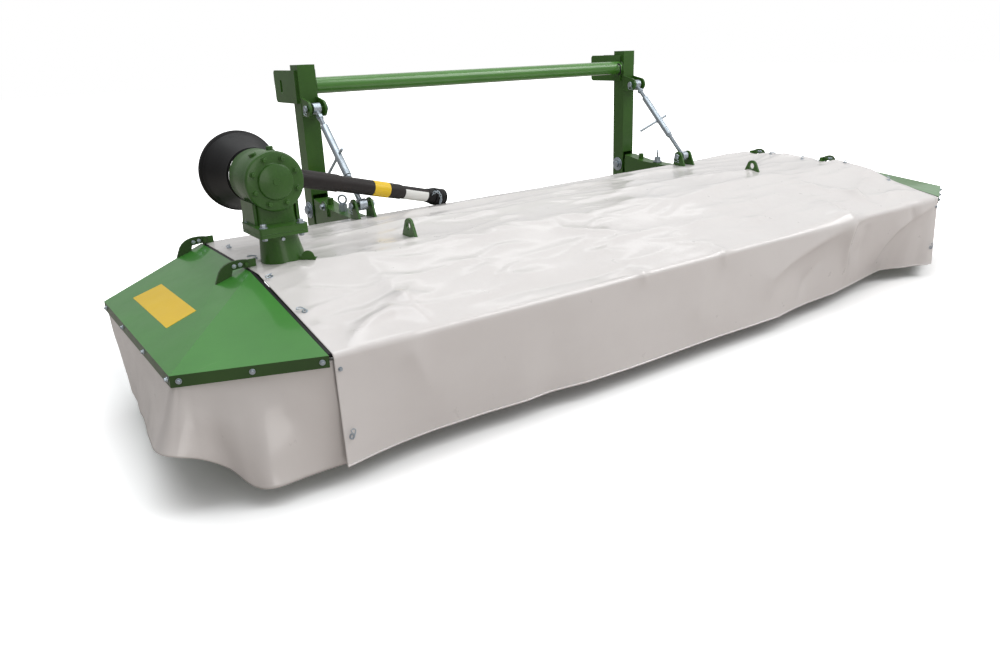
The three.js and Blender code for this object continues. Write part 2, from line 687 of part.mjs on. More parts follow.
// The shaft hangs down until its end rests on the deck's rear edge.
const edgeRise = INPUT_Z - (DECK_TOP_Z + GAP + FABRIC);
const edgeReach = DECK_REAR_Y - JOINT_Y;
const edgeSpan = Math.hypot(edgeRise, edgeReach);
const edgeAngle = Math.atan2(edgeRise, edgeReach) - Math.asin((SHAFT_END_R + GAP) / edgeSpan);
const drop = Math.atan(Math.tan(edgeAngle) * Math.sin(azimuth));
const shaftAcross = new THREE.Vector3(-Math.sin(azimuth), Math.cos(azimuth), 0);

// Built along +X from the universal joint, then laid along its resting line.
const layShaft = (g) =>
  g.rotateY(drop).rotateZ(azimuth).translate(-gearboxX, JOINT_Y, INPUT_Z);

function shaftYoke() {
  const [from, to] = [SHAFT_EAR_FROM, SHAFT_EAR_TO];
  const ears = [-1, 1].map((s) =>
    join(
      box([0, SHAFT_HUB_START + 4], s > 0 ? [from, to] : [-to, -from], [-SHAFT_EAR_R, SHAFT_EAR_R]),
      bar([0, s * from, 0], [0, s * to, 0], SHAFT_EAR_R),
    ),
  );
  const hub = bar([SHAFT_HUB_START, 0, 0], [SHAFT_HUB_END, 0, 0], SHAFT_GUARD_R);
  return layShaft(join(...ears, hub));
}

function shaftGuard() {
  const profile = [
    [0, SHAFT_HUB_END + GAP],
    [SHAFT_GUARD_R, SHAFT_HUB_END + GAP],
    [SHAFT_GUARD_R, SHAFT_STEP],
    [SHAFT_INNER_R, SHAFT_STEP + 4],
    [SHAFT_INNER_R, SHAFT_LENGTH - SHAFT_END_LENGTH],
    [0, SHAFT_LENGTH - SHAFT_END_LENGTH],
  ];
  return layShaft(new THREE.LatheGeometry(points(profile), 16).rotateZ(-Math.PI / 2));
}

function shaftEnd() {
  const start = SHAFT_LENGTH - SHAFT_END_LENGTH + GAP;
  const profile = [
    [0, start],
    [SHAFT_INNER_R + 2, start],
    [SHAFT_INNER_R + 4, start + 20],
    [SHAFT_END_R, start + 32],
    [SHAFT_END_R, SHAFT_LENGTH],
    [0, SHAFT_LENGTH],
  ];
  return layShaft(new THREE.LatheGeometry(points(profile), 16).rotateZ(-Math.PI / 2));
}

// ---- Headstock ---------------------------------------------------------------------------
function post() {
  const half = POST_SIZE / 2;
  const x = [POST_X - half, POST_X + half];
  const y = [POST_Y - half, POST_Y + half];
  const inset = ([a, b]) => [a + POST_WALL, b - POST_WALL];
  const tube = box(x, y, [POST_FOOT_Z, POST_TOP_Z]);
  const hollow = box(inset(x), inset(y), [POST_FOOT_Z - 1, POST_TOP_Z - POST_WALL]);
  const mouth = box(inset(x), [y[0] - 1, y[0] + POST_WALL + 1], [POST_FOOT_Z - 1, POST_SLOT_TOP_Z]);
  const pivotAt = (side) => [POST_X + side * (half + 1), POST_Y, PIVOT_Z];
  const pivotHole = bar(pivotAt(-1), pivotAt(1), PIVOT_PIN_R + PIN_CLEARANCE);
  const hitch = new THREE.Shape(
    points([
      [POST_Y - 20, HITCH_LOW_Z],
      [HITCH_REAR_Y - 12, HITCH_LOW_Z],
      [HITCH_REAR_Y, HITCH_LOW_Z + 12],
      [HITCH_REAR_Y, HITCH_HIGH_Z - 10],
      [HITCH_REAR_Y - 10, HITCH_HIGH_Z],
      [POST_Y - 20, HITCH_HIGH_Z],
    ]),
  );
  const r = HITCH_SLOT_WIDTH / 2;
  const slot = new THREE.Path();
  const mid = (HITCH_LOW_Z + HITCH_HIGH_Z) / 2;
  const reach = HITCH_SLOT_HEIGHT / 2 - r;
  slot.absarc(HITCH_SLOT_Y, mid + reach, r, 0, Math.PI, false);
  slot.absarc(HITCH_SLOT_Y, mid - reach, r, Math.PI, 2 * Math.PI, false);
  slot.closePath();
  hitch.holes.push(slot);
  const plates = [-1, 1].map((s) => {
    const inner = POST_X + s * (half - 1);
    const outer = POST_X + s * (half + HITCH_THICKNESS);
    return plateX(hitch, Math.min(inner, outer), Math.max(inner, outer));
  });
  const lug = new THREE.Shape();
  const lugR = UPPER_LUG_R;
  lug.moveTo(y[0] + 1, UPPER_PIN_Z - lugR);
  lug.lineTo(y[0] + 1, UPPER_PIN_Z + lugR + 12);
  lug.lineTo(UPPER_PIN_Y, UPPER_PIN_Z + lugR);
  lug.absarc(UPPER_PIN_Y, UPPER_PIN_Z, lugR, Math.PI / 2, (3 * Math.PI) / 2, false);
  lug.closePath();
  const lugs = [-1, 1].map((s) => {
    const at = POST_X + s * (half - LUG_THICKNESS / 2);
    return plateX(lug, at - LUG_THICKNESS / 2, at + LUG_THICKNESS / 2);
  });
  const pinAt = (side) => [POST_X + side * (half + LINK_PIN_OVERHANG), UPPER_PIN_Y, UPPER_PIN_Z];
  const pin = bar(pinAt(-1), pinAt(1), LINK_PIN_R);
  const shell = cut(tube, hollow, mouth, pivotHole);
  const crossAt = (dx) => [x[0] + dx, POST_Y, CROSS_TUBE_Z];
  const crossHole = bar(crossAt(-CROSS_TUBE_R), crossAt(-GAP), CROSS_TUBE_R + GAP, 24);
  return cut(join(shell, ...plates, ...lugs, pin), crossHole);
}

function crossTube() {
  const end = POST_X - POST_SIZE / 2 - GAP;
  const at = (x) => [x, POST_Y, CROSS_TUBE_Z];
  return cut(
    bar(at(-end), at(end), CROSS_TUBE_R, 24),
    bar(at(-end - 1), at(end + 1), CROSS_TUBE_R - CROSS_TUBE_WALL, 24),
  );
}

// The pivot bolt with its round heads outside the post.
function pivotBolt() {
  const face = POST_SIZE / 2 + GAP;
  const outer = face + PIVOT_HEAD_THICKNESS;
  const at = (dx) => [POST_X + dx, POST_Y, PIVOT_Z];
  const heads = [-1, 1].map((s) => bar(at(s * face), at(s * outer), PIVOT_HEAD_R, 20));
  const nuts = [-1, 1].map((s) =>
    bar(at(s * (outer - 1)), at(s * (outer + PIVOT_NUT_HEIGHT)), PIVOT_NUT_R, 6),
  );
  return join(bar(at(-face - 2), at(face + 2), PIVOT_PIN_R), ...heads, ...nuts);
}

// The arm from the beam to a post's foot: a box that narrows to a tongue inside the post.
function lowerArm() {
  const over = BEAM_FRONT_Y + 6;
  const top = BEAM_TOP_Z + GAP;
  const beamRear = BEAM_FRONT_Y + BEAM_SIZE + GAP;
  const outline = [
    [over, top],
    [beamRear, top],
    [beamRear, ARM_FOOT_Z - 30],
    [ARM_BACK_Y, ARM_FOOT_Z],
    [ARM_BACK_Y, ARM_TOP_Z.back],
    [ARM_NECK_Y, ARM_TOP_Z.neck],
    [ARM_KNEE_Y, ARM_TOP_Z.knee],
    [over, ARM_TOP_Z.front],
  ];
  const body = plateX(outline, POST_X - ARM_WIDTH / 2, POST_X + ARM_WIDTH / 2);
  const tongue = new THREE.Shape();
  tongue.moveTo(ARM_BACK_Y - 20, PIVOT_Z - ARM_TONGUE_R);
  tongue.lineTo(POST_Y, PIVOT_Z - ARM_TONGUE_R);
  tongue.absarc(POST_Y, PIVOT_Z, ARM_TONGUE_R, -Math.PI / 2, Math.PI / 2, false);
  tongue.lineTo(ARM_BACK_Y - 20, PIVOT_Z + ARM_TONGUE_R);
  tongue.closePath();
  const half = ARM_TONGUE_WIDTH / 2;
  const at = (dx) => [POST_X + dx, POST_Y, PIVOT_Z];
  const bore = bar(at(-half - 1), at(half + 1), PIVOT_PIN_R + PIN_CLEARANCE);
  const inArm = ARM_TOP_Z.front - 12;
  const stop = bar([POST_X, STOP_Y, inArm], [POST_X, STOP_Y, STOP_TOP_Z], STOP_R);
  const footTop = RING_BOLT_Z - RING_BOLT_R - 2;
  const ringFoot = bar([POST_X, RING_BOLT_Y, inArm], [POST_X, RING_BOLT_Y, footTop], 18, 6);
  const ring = new THREE.TorusGeometry(RING_BOLT_R, RING_BOLT_WIRE_R, 10, 16)
    .rotateX(Math.PI / 2)
    .rotateZ(Math.PI / 4)
    .translate(POST_X, RING_BOLT_Y, RING_BOLT_Z);
  const tonguePlate = plateX(tongue, POST_X - half, POST_X + half);
  return cut(join(body, tonguePlate, stop, ringFoot, ring), bore);
}

// ---- Turnbuckles -------------------------------------------------------------------------
const bracketFoot = [LOWER_PIN_Y - 55, LOWER_PIN_Y + 33];

function turnbuckleBracket() {
  const base = DECK_TOP_Z + GAP;
  const r = BRACKET_R;
  const plate = new THREE.Shape();
  plate.moveTo(bracketFoot[0], base);
  plate.lineTo(bracketFoot[1], base);
  plate.lineTo(LOWER_PIN_Y + r * 0.9, LOWER_PIN_Z + 8);
  plate.absarc(LOWER_PIN_Y, LOWER_PIN_Z, r, 0.4, Math.PI - 0.4, false);
  plate.closePath();
  const plates = [-1, 1].map((s) => {
    const at = POST_X + s * LUG_SPREAD;
    return plateX(plate, at - LUG_THICKNESS / 2, at + LUG_THICKNESS / 2);
  });
  const reach = LUG_SPREAD + LUG_THICKNESS / 2 + LINK_PIN_OVERHANG;
  const pinAt = (dx) => [POST_X + dx, LOWER_PIN_Y, LOWER_PIN_Z];
  const pin = bar(pinAt(-reach), pinAt(reach), LINK_PIN_R);
  return join(...plates, pin);
}

const linkLength = Math.hypot(UPPER_PIN_Y - LOWER_PIN_Y, UPPER_PIN_Z - LOWER_PIN_Z);
const linkAngle = Math.atan2(UPPER_PIN_Z - LOWER_PIN_Z, UPPER_PIN_Y - LOWER_PIN_Y);

// Built along +Y from the lower pin, then raised to its line.
const layLink = (g) => g.rotateX(linkAngle).translate(POST_X, LOWER_PIN_Y, LOWER_PIN_Z);

function eyeRing(y, clearance) {
  const half = EYE_WIDTH / 2;
  return [
    bar([-half, y, 0], [half, y, 0], EYE_R),
    bar([-half - 1, y, 0], [half + 1, y, 0], LINK_PIN_R + clearance),
  ];
}

function turnbuckleBarrel(turnDeg) {
  const barrelEnd = linkLength - BARREL_START;
  const barrelFoot = barrelEnd - BARREL_LENGTH;
  const [ring, hole] = eyeRing(0, LOWER_EYE_CLEARANCE);
  const rod = bar([0, EYE_R - 4, 0], [0, barrelFoot + 20, 0], ROD_R);
  const barrel = bar([0, barrelFoot, 0], [0, barrelEnd, 0], BARREL_R);
  const bore = bar([0, barrelFoot + 40, 0], [0, barrelEnd + 1, 0], BARREL_BORE_R);
  const at = linkLength - HANDLE_AT;
  const turned = (from, to) => bar([0, at, from], [0, at, to], HANDLE_R).rotateY(rad(turnDeg));
  const long = turned(3 - BARREL_R, -HANDLE_LONG);
  const short = turned(BARREL_R - 3, HANDLE_SHORT);
  return layLink(cut(join(ring, rod, barrel, long, short), hole, bore));
}

function turnbuckleRod() {
  const [ring, hole] = eyeRing(linkLength, UPPER_EYE_CLEARANCE);
  const barrelEnd = linkLength - BARREL_START;
  const rod = bar([0, linkLength - EYE_R + 4, 0], [0, barrelEnd - ROD_IN_BARREL, 0], ROD_R);
  const nutFrom = barrelEnd + NUT_AT;
  const barrelNut = bar([0, nutFrom, 0], [0, nutFrom + NUT_HEIGHT, 0], NUT_R, 6);
  return layLink(cut(join(ring, rod, barrelNut), hole));
}

// ---- Covers and guards -------------------------------------------------------------------
const coverSlope = (COVER_REAR_Z - COVER_FRONT_Z) / (COVER_HINGE_Y - COVER_FRONT_Y);
const coverZ = (y) => COVER_FRONT_Z + (y - COVER_FRONT_Y) * coverSlope;
const coverRearY = COVER_HINGE_Y - 10;

function coverArm(x) {
  const half = COVER_ARM_WIDTH / 2;
  const under = FABRIC + GAP;
  const rearY = COVER_HINGE_Y - COVER_EYE_R + 4;
  const frontY = tubeY + COVER_TUBE_R + GAP;
  const outline = [
    [frontY, coverZ(frontY) - under],
    [frontY, coverZ(frontY) - under - COVER_ARM_HEIGHT],
    [rearY, COVER_HINGE_Z - COVER_EYE_R + 2],
    [rearY, coverZ(rearY) - under - 2],
  ];
  const at = (dx) => [x + dx, COVER_HINGE_Y, COVER_HINGE_Z];
  const eye = bar(at(-half), at(half), COVER_EYE_R);
  const hole = bar(at(-half - 1), at(half + 1), COVER_HINGE_R + PIN_CLEARANCE);
  return cut(join(plateX(outline, x - half, x + half), eye), hole);
}

const tubeY = COVER_FRONT_Y + COVER_TUBE_R + 2;
const tubeZ = coverZ(tubeY) - FABRIC - GAP - COVER_TUBE_R - 1;

function coverTube() {
  const end = DECK_HALF_WIDTH - 4;
  return bar([-end, tubeY, tubeZ], [end, tubeY, tubeZ], COVER_TUBE_R);
}

function coverSheet() {
  const row = (x, lift) => [COVER_FRONT_Y, coverRearY].map((y) => [x, y, coverZ(y) - lift]);
  const rows = (lift) => [row(-DECK_HALF_WIDTH, lift), row(DECK_HALF_WIDTH, lift)];
  return slab(rows(0), rows(FABRIC));
}

function frontCurtain() {
  const topZ = COVER_FRONT_Z - FABRIC - GAP - CURTAIN;
  const topY = tubeY - COVER_TUBE_R - GAP - CURTAIN;
  const end = DECK_HALF_WIDTH + CURTAIN_OVERHANG;
  const row = (y, z) => [
    [-end, y, z],
    [end, y, z],
  ];
  const rows = (inset) => [row(topY + inset, topZ), row(CURTAIN_FOOT_Y + inset, CURTAIN_FOOT_Z)];
  return slab(rows(0), rows(CURTAIN));
}

// The corners of an end guard's upper face: inner edge from front to rear, then outer edge.
const guardCorners = {
  frontInner: [GUARD_INNER_X, COVER_FRONT_Y, COVER_FRONT_Z],
  crease: [GUARD_INNER_X, GUARD_CREASE_Y, COVER_REAR_Z],
  rearInner: [GUARD_INNER_X, GUARD_REAR_INNER_Y, COVER_REAR_Z],
  rearOuter: [GUARD_OUTER_X, GUARD_REAR_OUTER_Y, GUARD_OUTER_Z],
  frontOuter: [GUARD_OUTER_X, GUARD_FRONT_OUTER_Y, GUARD_OUTER_Z],
};

// A closed three-sided or four-sided plate under a face, as thick as the drop.
function facePlate(corners, dropBy) {
  const low = corners.map(([x, y, z]) => [x, y, z - dropBy]);
  const n = corners.length;
  const faces = [];
  for (let k = 1; k + 1 < n; k++) faces.push(0, k, k + 1, n, n + k + 1, n + k);
  for (let k = 0; k < n; k++) {
    const next = (k + 1) % n;
    faces.push(k, n + k, n + next, k, n + next, next);
  }
  const g = new THREE.BufferGeometry()
    .setAttribute("position", new THREE.Float32BufferAttribute([...corners, ...low].flat(), 3))
    .setIndex(faces);
  return faceOut(g);
}

// A turned-down lip along one edge of the guard, on its inner side.
function lipAlong(a, b, inward) {
  const shift = ([x, y, z]) => [x + inward[0] * GUARD_SHEET, y + inward[1] * GUARD_SHEET, z];
  const low = ([x, y, z]) => [x, y, z - GUARD_LIP];
  return slab([[a, b], [low(a), low(b)]], [[shift(a), shift(b)], [low(shift(a)), low(shift(b))]]);
}

const earFrom = GUARD_ARM_THICKNESS / 2 + 1;
const earTo = earFrom + GUARD_EAR_THICKNESS;

function guardArm(y) {
  const shape = new THREE.Shape();
  const slope = (COVER_REAR_Z - GUARD_OUTER_Z) / (GUARD_OUTER_X - GUARD_INNER_X);
  const faceZ = (x) => COVER_REAR_Z - (x - GUARD_INNER_X) * slope;
  const above = (dx, rise) => [GUARD_INNER_X + dx, faceZ(GUARD_INNER_X + dx) + rise];
  const crown = GUARD_HINGE_Z + GUARD_ARM_R;
  shape.moveTo(...above(100, -2));
  shape.lineTo(...above(84, 30));
  shape.quadraticCurveTo(GUARD_INNER_X + 60, crown + 10, GUARD_HINGE_X, crown);
  shape.absarc(GUARD_HINGE_X, GUARD_HINGE_Z, GUARD_ARM_R, Math.PI / 2, 1.75 * Math.PI, false);
  shape.lineTo(...above(40, 16));
  shape.lineTo(...above(46, -2));
  shape.closePath();
  const half = GUARD_ARM_THICKNESS / 2;
  const pinAt = (side) => [GUARD_HINGE_X, y + side * (half + 1), GUARD_HINGE_Z];
  return cut(
    plateY(shape, y - half, y + half),
    bar(pinAt(-1), pinAt(1), GUARD_PIN_R + PIN_CLEARANCE),
  );
}

function endGuard() {
  const c = guardCorners;
  const front = facePlate([c.frontInner, c.crease, c.frontOuter], GUARD_SHEET);
  const inner = facePlate([c.crease, c.rearInner, c.frontOuter], GUARD_SHEET);
  const outer = facePlate([c.rearInner, c.rearOuter, c.frontOuter], GUARD_SHEET);
  const unit = (a, b) => {
    const l = Math.hypot(b[0] - a[0], b[1] - a[1]);
    return [(b[0] - a[0]) / l, (b[1] - a[1]) / l];
  };
  const f = unit(c.frontInner, c.frontOuter);
  const r = unit(c.rearInner, c.rearOuter);
  const lips = [
    lipAlong(c.frontInner, c.frontOuter, [-f[1], f[0]]),
    lipAlong(c.frontOuter, c.rearOuter, [-1, 0]),
    lipAlong(c.rearOuter, c.rearInner, [r[1] < 0 ? r[1] : -r[1], -r[0]]),
  ];
  return join(front, inner, outer, ...lips, ...GUARD_ARM_Y.map(guardArm));
}

// The hinge ears on the deck's side, with their pins.
function hingeEar(y) {
  const shape = new THREE.Shape();
  const base = DECK_TOP_Z + GAP;
  shape.moveTo(HINGE_FOOT_X, base);
  shape.lineTo(DECK_HALF_WIDTH, base);
  shape.absarc(GUARD_HINGE_X, GUARD_HINGE_Z, GUARD_EAR_R, -0.7, Math.PI / 2, false);
  shape.lineTo(HINGE_FOOT_X, GUARD_HINGE_Z + GUARD_EAR_R);
  shape.closePath();
  const pinFrom = y - GUARD_ARM_THICKNESS / 2 - GUARD_EAR_THICKNESS;
  return join(
    plateY(shape, y + earFrom, y + earTo),
    bar([GUARD_HINGE_X, pinFrom, GUARD_HINGE_Z], [GUARD_HINGE_X, y + earTo + 6, GUARD_HINGE_Z], GUARD_PIN_R),
  );
}

function endCurtain() {
  const inset = GUARD_SHEET + GAP + 0.2;
  const outerX = GUARD_OUTER_X - inset;
  const frontY = COVER_FRONT_Y + 12;
  const [low, high] = [END_CURTAIN_LOW_Z, END_CURTAIN_HIGH_Z];
  const path = [
    { x: GUARD_INNER_X + 2, y: frontY, z: low, out: [0, -1] },
    { x: END_CURTAIN_MID_X, y: frontY + END_CURTAIN_MID_SET, z: low, out: [0.15, -0.9] },
    { x: outerX - 14, y: GUARD_FRONT_OUTER_Y + 10, z: high, out: [0.7, -0.5] },
    { x: outerX, y: GUARD_FRONT_OUTER_Y + 60, z: high, out: [1, -0.1] },
    { x: outerX, y: END_CURTAIN_SIDE_Y, z: high, out: [1, 0] },
    { x: outerX, y: GUARD_REAR_OUTER_Y - 6, z: low, out: [1, 0] },
  ];
  const top = GUARD_OUTER_Z - GUARD_SHEET - 2;
  const lipFoot = top - GUARD_LIP - 4;
  const flare = (p, z) => {
    const t = z >= lipFoot ? 0 : (lipFoot - z) / (lipFoot - low);
    return [p.x + p.out[0] * END_CURTAIN_FLARE * t, p.y + p.out[1] * END_CURTAIN_SWELL * t, z];
  };
  const rows = (inner) =>
    path.map((p) =>
      [top, lipFoot, (lipFoot + p.z) / 2, p.z].map((z) => {
        const [x, y, zz] = flare(p, z);
        return [x - p.out[0] * inner, y - p.out[1] * inner, zz];
      }),
    );
  return slab(rows(0), rows(CURTAIN));
}

function liftLug() {
  const [y0, y1] = LIFT_LUG_Y;
  const base = DECK_TOP_Z + GAP;
  const mid = (y0 + y1) / 2;
  const r = LIFT_LUG_R;
  const shape = new THREE.Shape();
  shape.moveTo(y0, base);
  shape.lineTo(y1, base);
  shape.absarc(mid, LIFT_LUG_TOP_Z - r, r, 0.3, Math.PI - 0.3, false);
  shape.closePath();
  const hole = new THREE.Path();
  hole.absarc(mid, LIFT_LUG_TOP_Z - r, LIFT_HOLE_R, 0, 2 * Math.PI, true);
  shape.holes.push(hole);
  return plateX(shape, ...liftLugX);
}

// ---- Put together ------------------------------------------------------------------------
add("main_beam", mainBeam(), FRAME_GREEN);
add("left_carrier", carrier(-CARRIER_X), FRAME_GREEN);
add("middle_carrier", carrier(0), FRAME_GREEN);
add("right_carrier", carrier(CARRIER_X), FRAME_GREEN);
add("deck", deck(), FRAME_GREEN);
add("top_cover", topCover(), WHITE_FABRIC);
add("cutter_bar", cutterBar(), FRAME_GREEN);
add("skid_shoes", skidShoes(), STEEL);
for (let i = 0; i < DISC_COUNT; i++) add("disc_" + (i + 1), disc(i), STEEL);

add("gearbox_pedestal", pedestal(), CAST);
add("gearbox_housing", gearHousing(), CAST);
add("gearbox_front_cover", gearboxFrontCover(), CAST);
add("drive_cone", driveCone(), BLACK_PLASTIC);
add("input_yoke", inputYoke(), STEEL);
add("shaft_yoke", shaftYoke(), STEEL);
add("shaft_guard", shaftGuard(), BLACK_PLASTIC);
add("shaft_end", shaftEnd(), BLACK_PLASTIC);

addPair("lower_arm", lowerArm(), FRAME_GREEN);
addPair("turnbuckle_bracket", turnbuckleBracket(), FRAME_GREEN);
addPair("lifting_lug", liftLug(), FRAME_GREEN);
addPair("post", post(), FRAME_GREEN);
addPair("pivot_bolt", pivotBolt(), ZINC);
add("right_turnbuckle_barrel", turnbuckleBarrel(HANDLE_TURN_DEG.right), ZINC);
add("left_turnbuckle_barrel", mirrored(turnbuckleBarrel(HANDLE_TURN_DEG.left)), ZINC);
addPair("turnbuckle_rod", turnbuckleRod(), ZINC);
add("cross_tube", crossTube(), FRAME_GREEN);

add("cover_front_tube", coverTube(), FRAME_GREEN);
add("left_cover_arm", coverArm(-COVER_ARM_X), FRAME_GREEN);
add("middle_cover_arm", coverArm(0), FRAME_GREEN);
add("right_cover_arm", coverArm(COVER_ARM_X), FRAME_GREEN);
add("front_cover", coverSheet(), WHITE_FABRIC);
add("front_curtain", frontCurtain(), GREY_FABRIC);
addPair("end_guard", endGuard(), SHEET_GREEN);
addPair("end_curtain", endCurtain(), GREY_FABRIC);
addPair("front_hinge_ear", hingeEar(GUARD_ARM_Y[0]), FRAME_GREEN);
addPair("rear_hinge_ear", hingeEar(GUARD_ARM_Y[1]), FRAME_GREEN);

export default group;
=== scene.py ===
# %% [markdown]
# # A front-mounted disc mower
# The machine is a cutter bar of eight discs under a guard. A steel deck carries the guard's cloth, two
# hinged sheet-steel ends close it, a gearbox on a round pedestal drives it, and a headstock on two posts
# joins it to a tractor. The construction comes ready made, as a frame of plain solids in metres. This
# lesson dresses that frame: cloth with its creases, painted steel with eased edges, bolts, threads, labels
# and soft light.

# %% Load the frame
import json
import math

import bmesh
import bpy
import numpy as np
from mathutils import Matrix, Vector

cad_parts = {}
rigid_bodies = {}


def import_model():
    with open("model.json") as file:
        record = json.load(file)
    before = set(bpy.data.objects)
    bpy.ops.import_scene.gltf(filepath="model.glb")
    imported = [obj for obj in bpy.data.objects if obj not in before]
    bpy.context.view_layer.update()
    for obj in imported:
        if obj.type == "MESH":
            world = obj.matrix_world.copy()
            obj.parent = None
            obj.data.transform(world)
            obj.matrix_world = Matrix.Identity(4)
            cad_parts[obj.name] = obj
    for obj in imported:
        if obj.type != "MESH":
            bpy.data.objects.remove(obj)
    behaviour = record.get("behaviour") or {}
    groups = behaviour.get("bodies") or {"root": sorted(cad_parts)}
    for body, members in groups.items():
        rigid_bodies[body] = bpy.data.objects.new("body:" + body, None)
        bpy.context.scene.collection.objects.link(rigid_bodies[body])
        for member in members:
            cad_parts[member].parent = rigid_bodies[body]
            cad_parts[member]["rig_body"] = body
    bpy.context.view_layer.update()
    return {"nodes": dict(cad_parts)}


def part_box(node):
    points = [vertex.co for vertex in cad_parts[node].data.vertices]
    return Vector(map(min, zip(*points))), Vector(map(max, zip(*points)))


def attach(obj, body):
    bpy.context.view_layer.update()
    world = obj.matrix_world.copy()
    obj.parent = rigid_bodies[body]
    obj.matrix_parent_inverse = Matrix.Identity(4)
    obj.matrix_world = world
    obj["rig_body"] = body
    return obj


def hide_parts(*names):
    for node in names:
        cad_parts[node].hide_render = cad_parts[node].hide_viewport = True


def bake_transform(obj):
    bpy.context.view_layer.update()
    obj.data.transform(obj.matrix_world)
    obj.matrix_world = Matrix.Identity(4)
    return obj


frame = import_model()
nodes = frame["nodes"]
MM = 0.001

# %% [markdown]
# ## Shapes as arrays
# Every new shape is a pair: an array of points, and a list of face arrays that number those points. A
# surface is a grid of points joined by quads. A turned piece is a profile carried round an axis, and a tube
# is a circle carried along a path. Working on whole arrays keeps each shape a short formula.

# %% Grids and joins
def unit(vector):
    """The vector divided by its own length."""
    vector = np.asarray(vector, float)
    return vector / np.linalg.norm(vector)


def quads(rows, columns, wrap_rows=False, wrap_columns=False):
    """Quads of a grid numbered row by row; a wrapped direction joins its last line of points to its
    first."""
    i, j = np.meshgrid(
        np.arange(rows if wrap_rows else rows - 1),
        np.arange(columns if wrap_columns else columns - 1),
        indexing="ij",
    )
    i, j = i.ravel(), j.ravel()
    below, beside = (i + 1) % rows, (j + 1) % columns
    return np.stack(
        [i * columns + j, below * columns + j, below * columns + beside, i * columns + beside], axis=1
    )


def volume(shape):
    """The sum over triangles of a . (b x c) / 6, which is positive where faces point outwards."""
    points, faces = shape
    total = 0.0
    for group in faces:
        for k in range(1, group.shape[1] - 1):
            a, b, c = points[group[:, 0]], points[group[:, k]], points[group[:, k + 1]]
            total += (a * np.cross(b, c)).sum() / 6
    return total


def outward(shape):
    """The same closed shape, with its faces turned round if they point inwards."""
    points, faces = shape
    centred = (points - points.mean(axis=0), faces)
    return shape if volume(centred) > 0 else (points, [group[:, ::-1] for group in faces])


def joined(shapes):
    """Several shapes as one: points are stacked, and each shape's face numbers move up past the ones
    before."""
    points, faces, start = [], [], 0
    for shape_points, shape_faces in shapes:
        points.append(shape_points)
        faces += [group + start for group in shape_faces]
        start += len(shape_points)
    return np.vstack(points), faces


def mirrored(shape):
    """The shape with X changed in sign, and its faces turned round to point outwards again."""
    points, faces = shape
    return points * np.array([-1.0, 1.0, 1.0]), [group[:, ::-1] for group in faces]


# %% Turned pieces, tubes and plates
def square_to(axis):
    """Two unit vectors square to an axis and to each other."""
    axis = unit(axis)
    helper = (0, 0, 1) if abs(axis[2]) < 0.9 else (1, 0, 0)
    across = unit(np.cross(helper, axis))
    return across, np.cross(axis, across)


def turned(profile, origin, axis, sides=40, turn=0.0):
    """Each pair (d, r) is a ring: origin + axis d + r (cos t across + sin t beside). Where both end radii
    are zero the ends close in poles; otherwise the last ring joins the first, which makes a hollow
    piece."""
    d, r = np.asarray(profile, float).T
    axis = unit(axis)
    across, beside = square_to(axis)
    t = turn + np.linspace(0, 2 * np.pi, sides, endpoint=False)
    poles = r[0] == 0 and r[-1] == 0
    rings = slice(1, -1) if poles else slice(None)
    count = len(d[rings])
    points = (
        np.asarray(origin, float)
        + d[rings, None, None] * axis
        + r[rings, None, None] * (np.cos(t)[:, None] * across + np.sin(t)[:, None] * beside)
    ).reshape(-1, 3)
    faces = [quads(count, sides, wrap_rows=not poles, wrap_columns=True)]
    if poles:
        ends = np.asarray(origin, float) + d[[0, -1], None] * axis
        points = np.vstack([points, ends])
        k = np.arange(sides)
        last = (count - 1) * sides
        faces.append(np.stack([k, (k + 1) % sides, np.full(sides, len(points) - 2)], axis=1))
        faces.append(np.stack([last + (k + 1) % sides, last + k, np.full(sides, len(points) - 1)], axis=1))
    return outward((points, faces))


def smooth_path(points, count):
    """A Catmull-Rom curve through the points, sampled evenly in its parameter."""
    p = np.asarray(points, float)
    p = np.vstack([2 * p[0] - p[1], p, 2 * p[-1] - p[-2]])
    at = np.linspace(0, len(p) - 3 - 1e-9, count)
    k = at.astype(int)
    t = (at - k)[:, None]
    a, b, c, d = p[k], p[k + 1], p[k + 2], p[k + 3]
    return 0.5 * (
        2 * b + (c - a) * t + (2 * a - 5 * b + 4 * c - d) * t**2 + (3 * b - a - 3 * c + d) * t**3
    )


def tube(path, radius, sides=12, up=(0, 0, 1), closed=False):
    """A circle carried along a path: point + radius (cos t side + sin t above), where side is the tangent
    crossed with up. An open tube's ends close in poles, and a closed one joins its last ring to its
    first."""
    path = np.asarray(path, float)
    if closed:
        tangent = np.roll(path, -1, axis=0) - np.roll(path, 1, axis=0)
    else:
        tangent = np.gradient(path, axis=0)
    tangent /= np.linalg.norm(tangent, axis=1)[:, None]
    side = np.cross(tangent, np.asarray(up, float))
    side /= np.linalg.norm(side, axis=1)[:, None]
    above = np.cross(side, tangent)
    t = np.linspace(0, 2 * np.pi, sides, endpoint=False)
    radius = np.broadcast_to(np.asarray(radius, float), (len(path),))
    points = path[:, None] + radius[:, None, None] * (
        np.cos(t)[:, None] * side[:, None] + np.sin(t)[:, None] * above[:, None]
    )
    faces = [quads(len(path), sides, wrap_rows=closed, wrap_columns=True)]
    points = points.reshape(-1, 3)
    if not closed:
        k = np.arange(sides)
        last = (len(path) - 1) * sides
        points = np.vstack([points, path[[0, -1]]])
        faces.append(np.stack([(k + 1) % sides, k, np.full(sides, len(points) - 2)], axis=1))
        faces.append(np.stack([last + k, last + (k + 1) % sides, np.full(sides, len(points) - 1)], axis=1))
    return outward((points, faces))


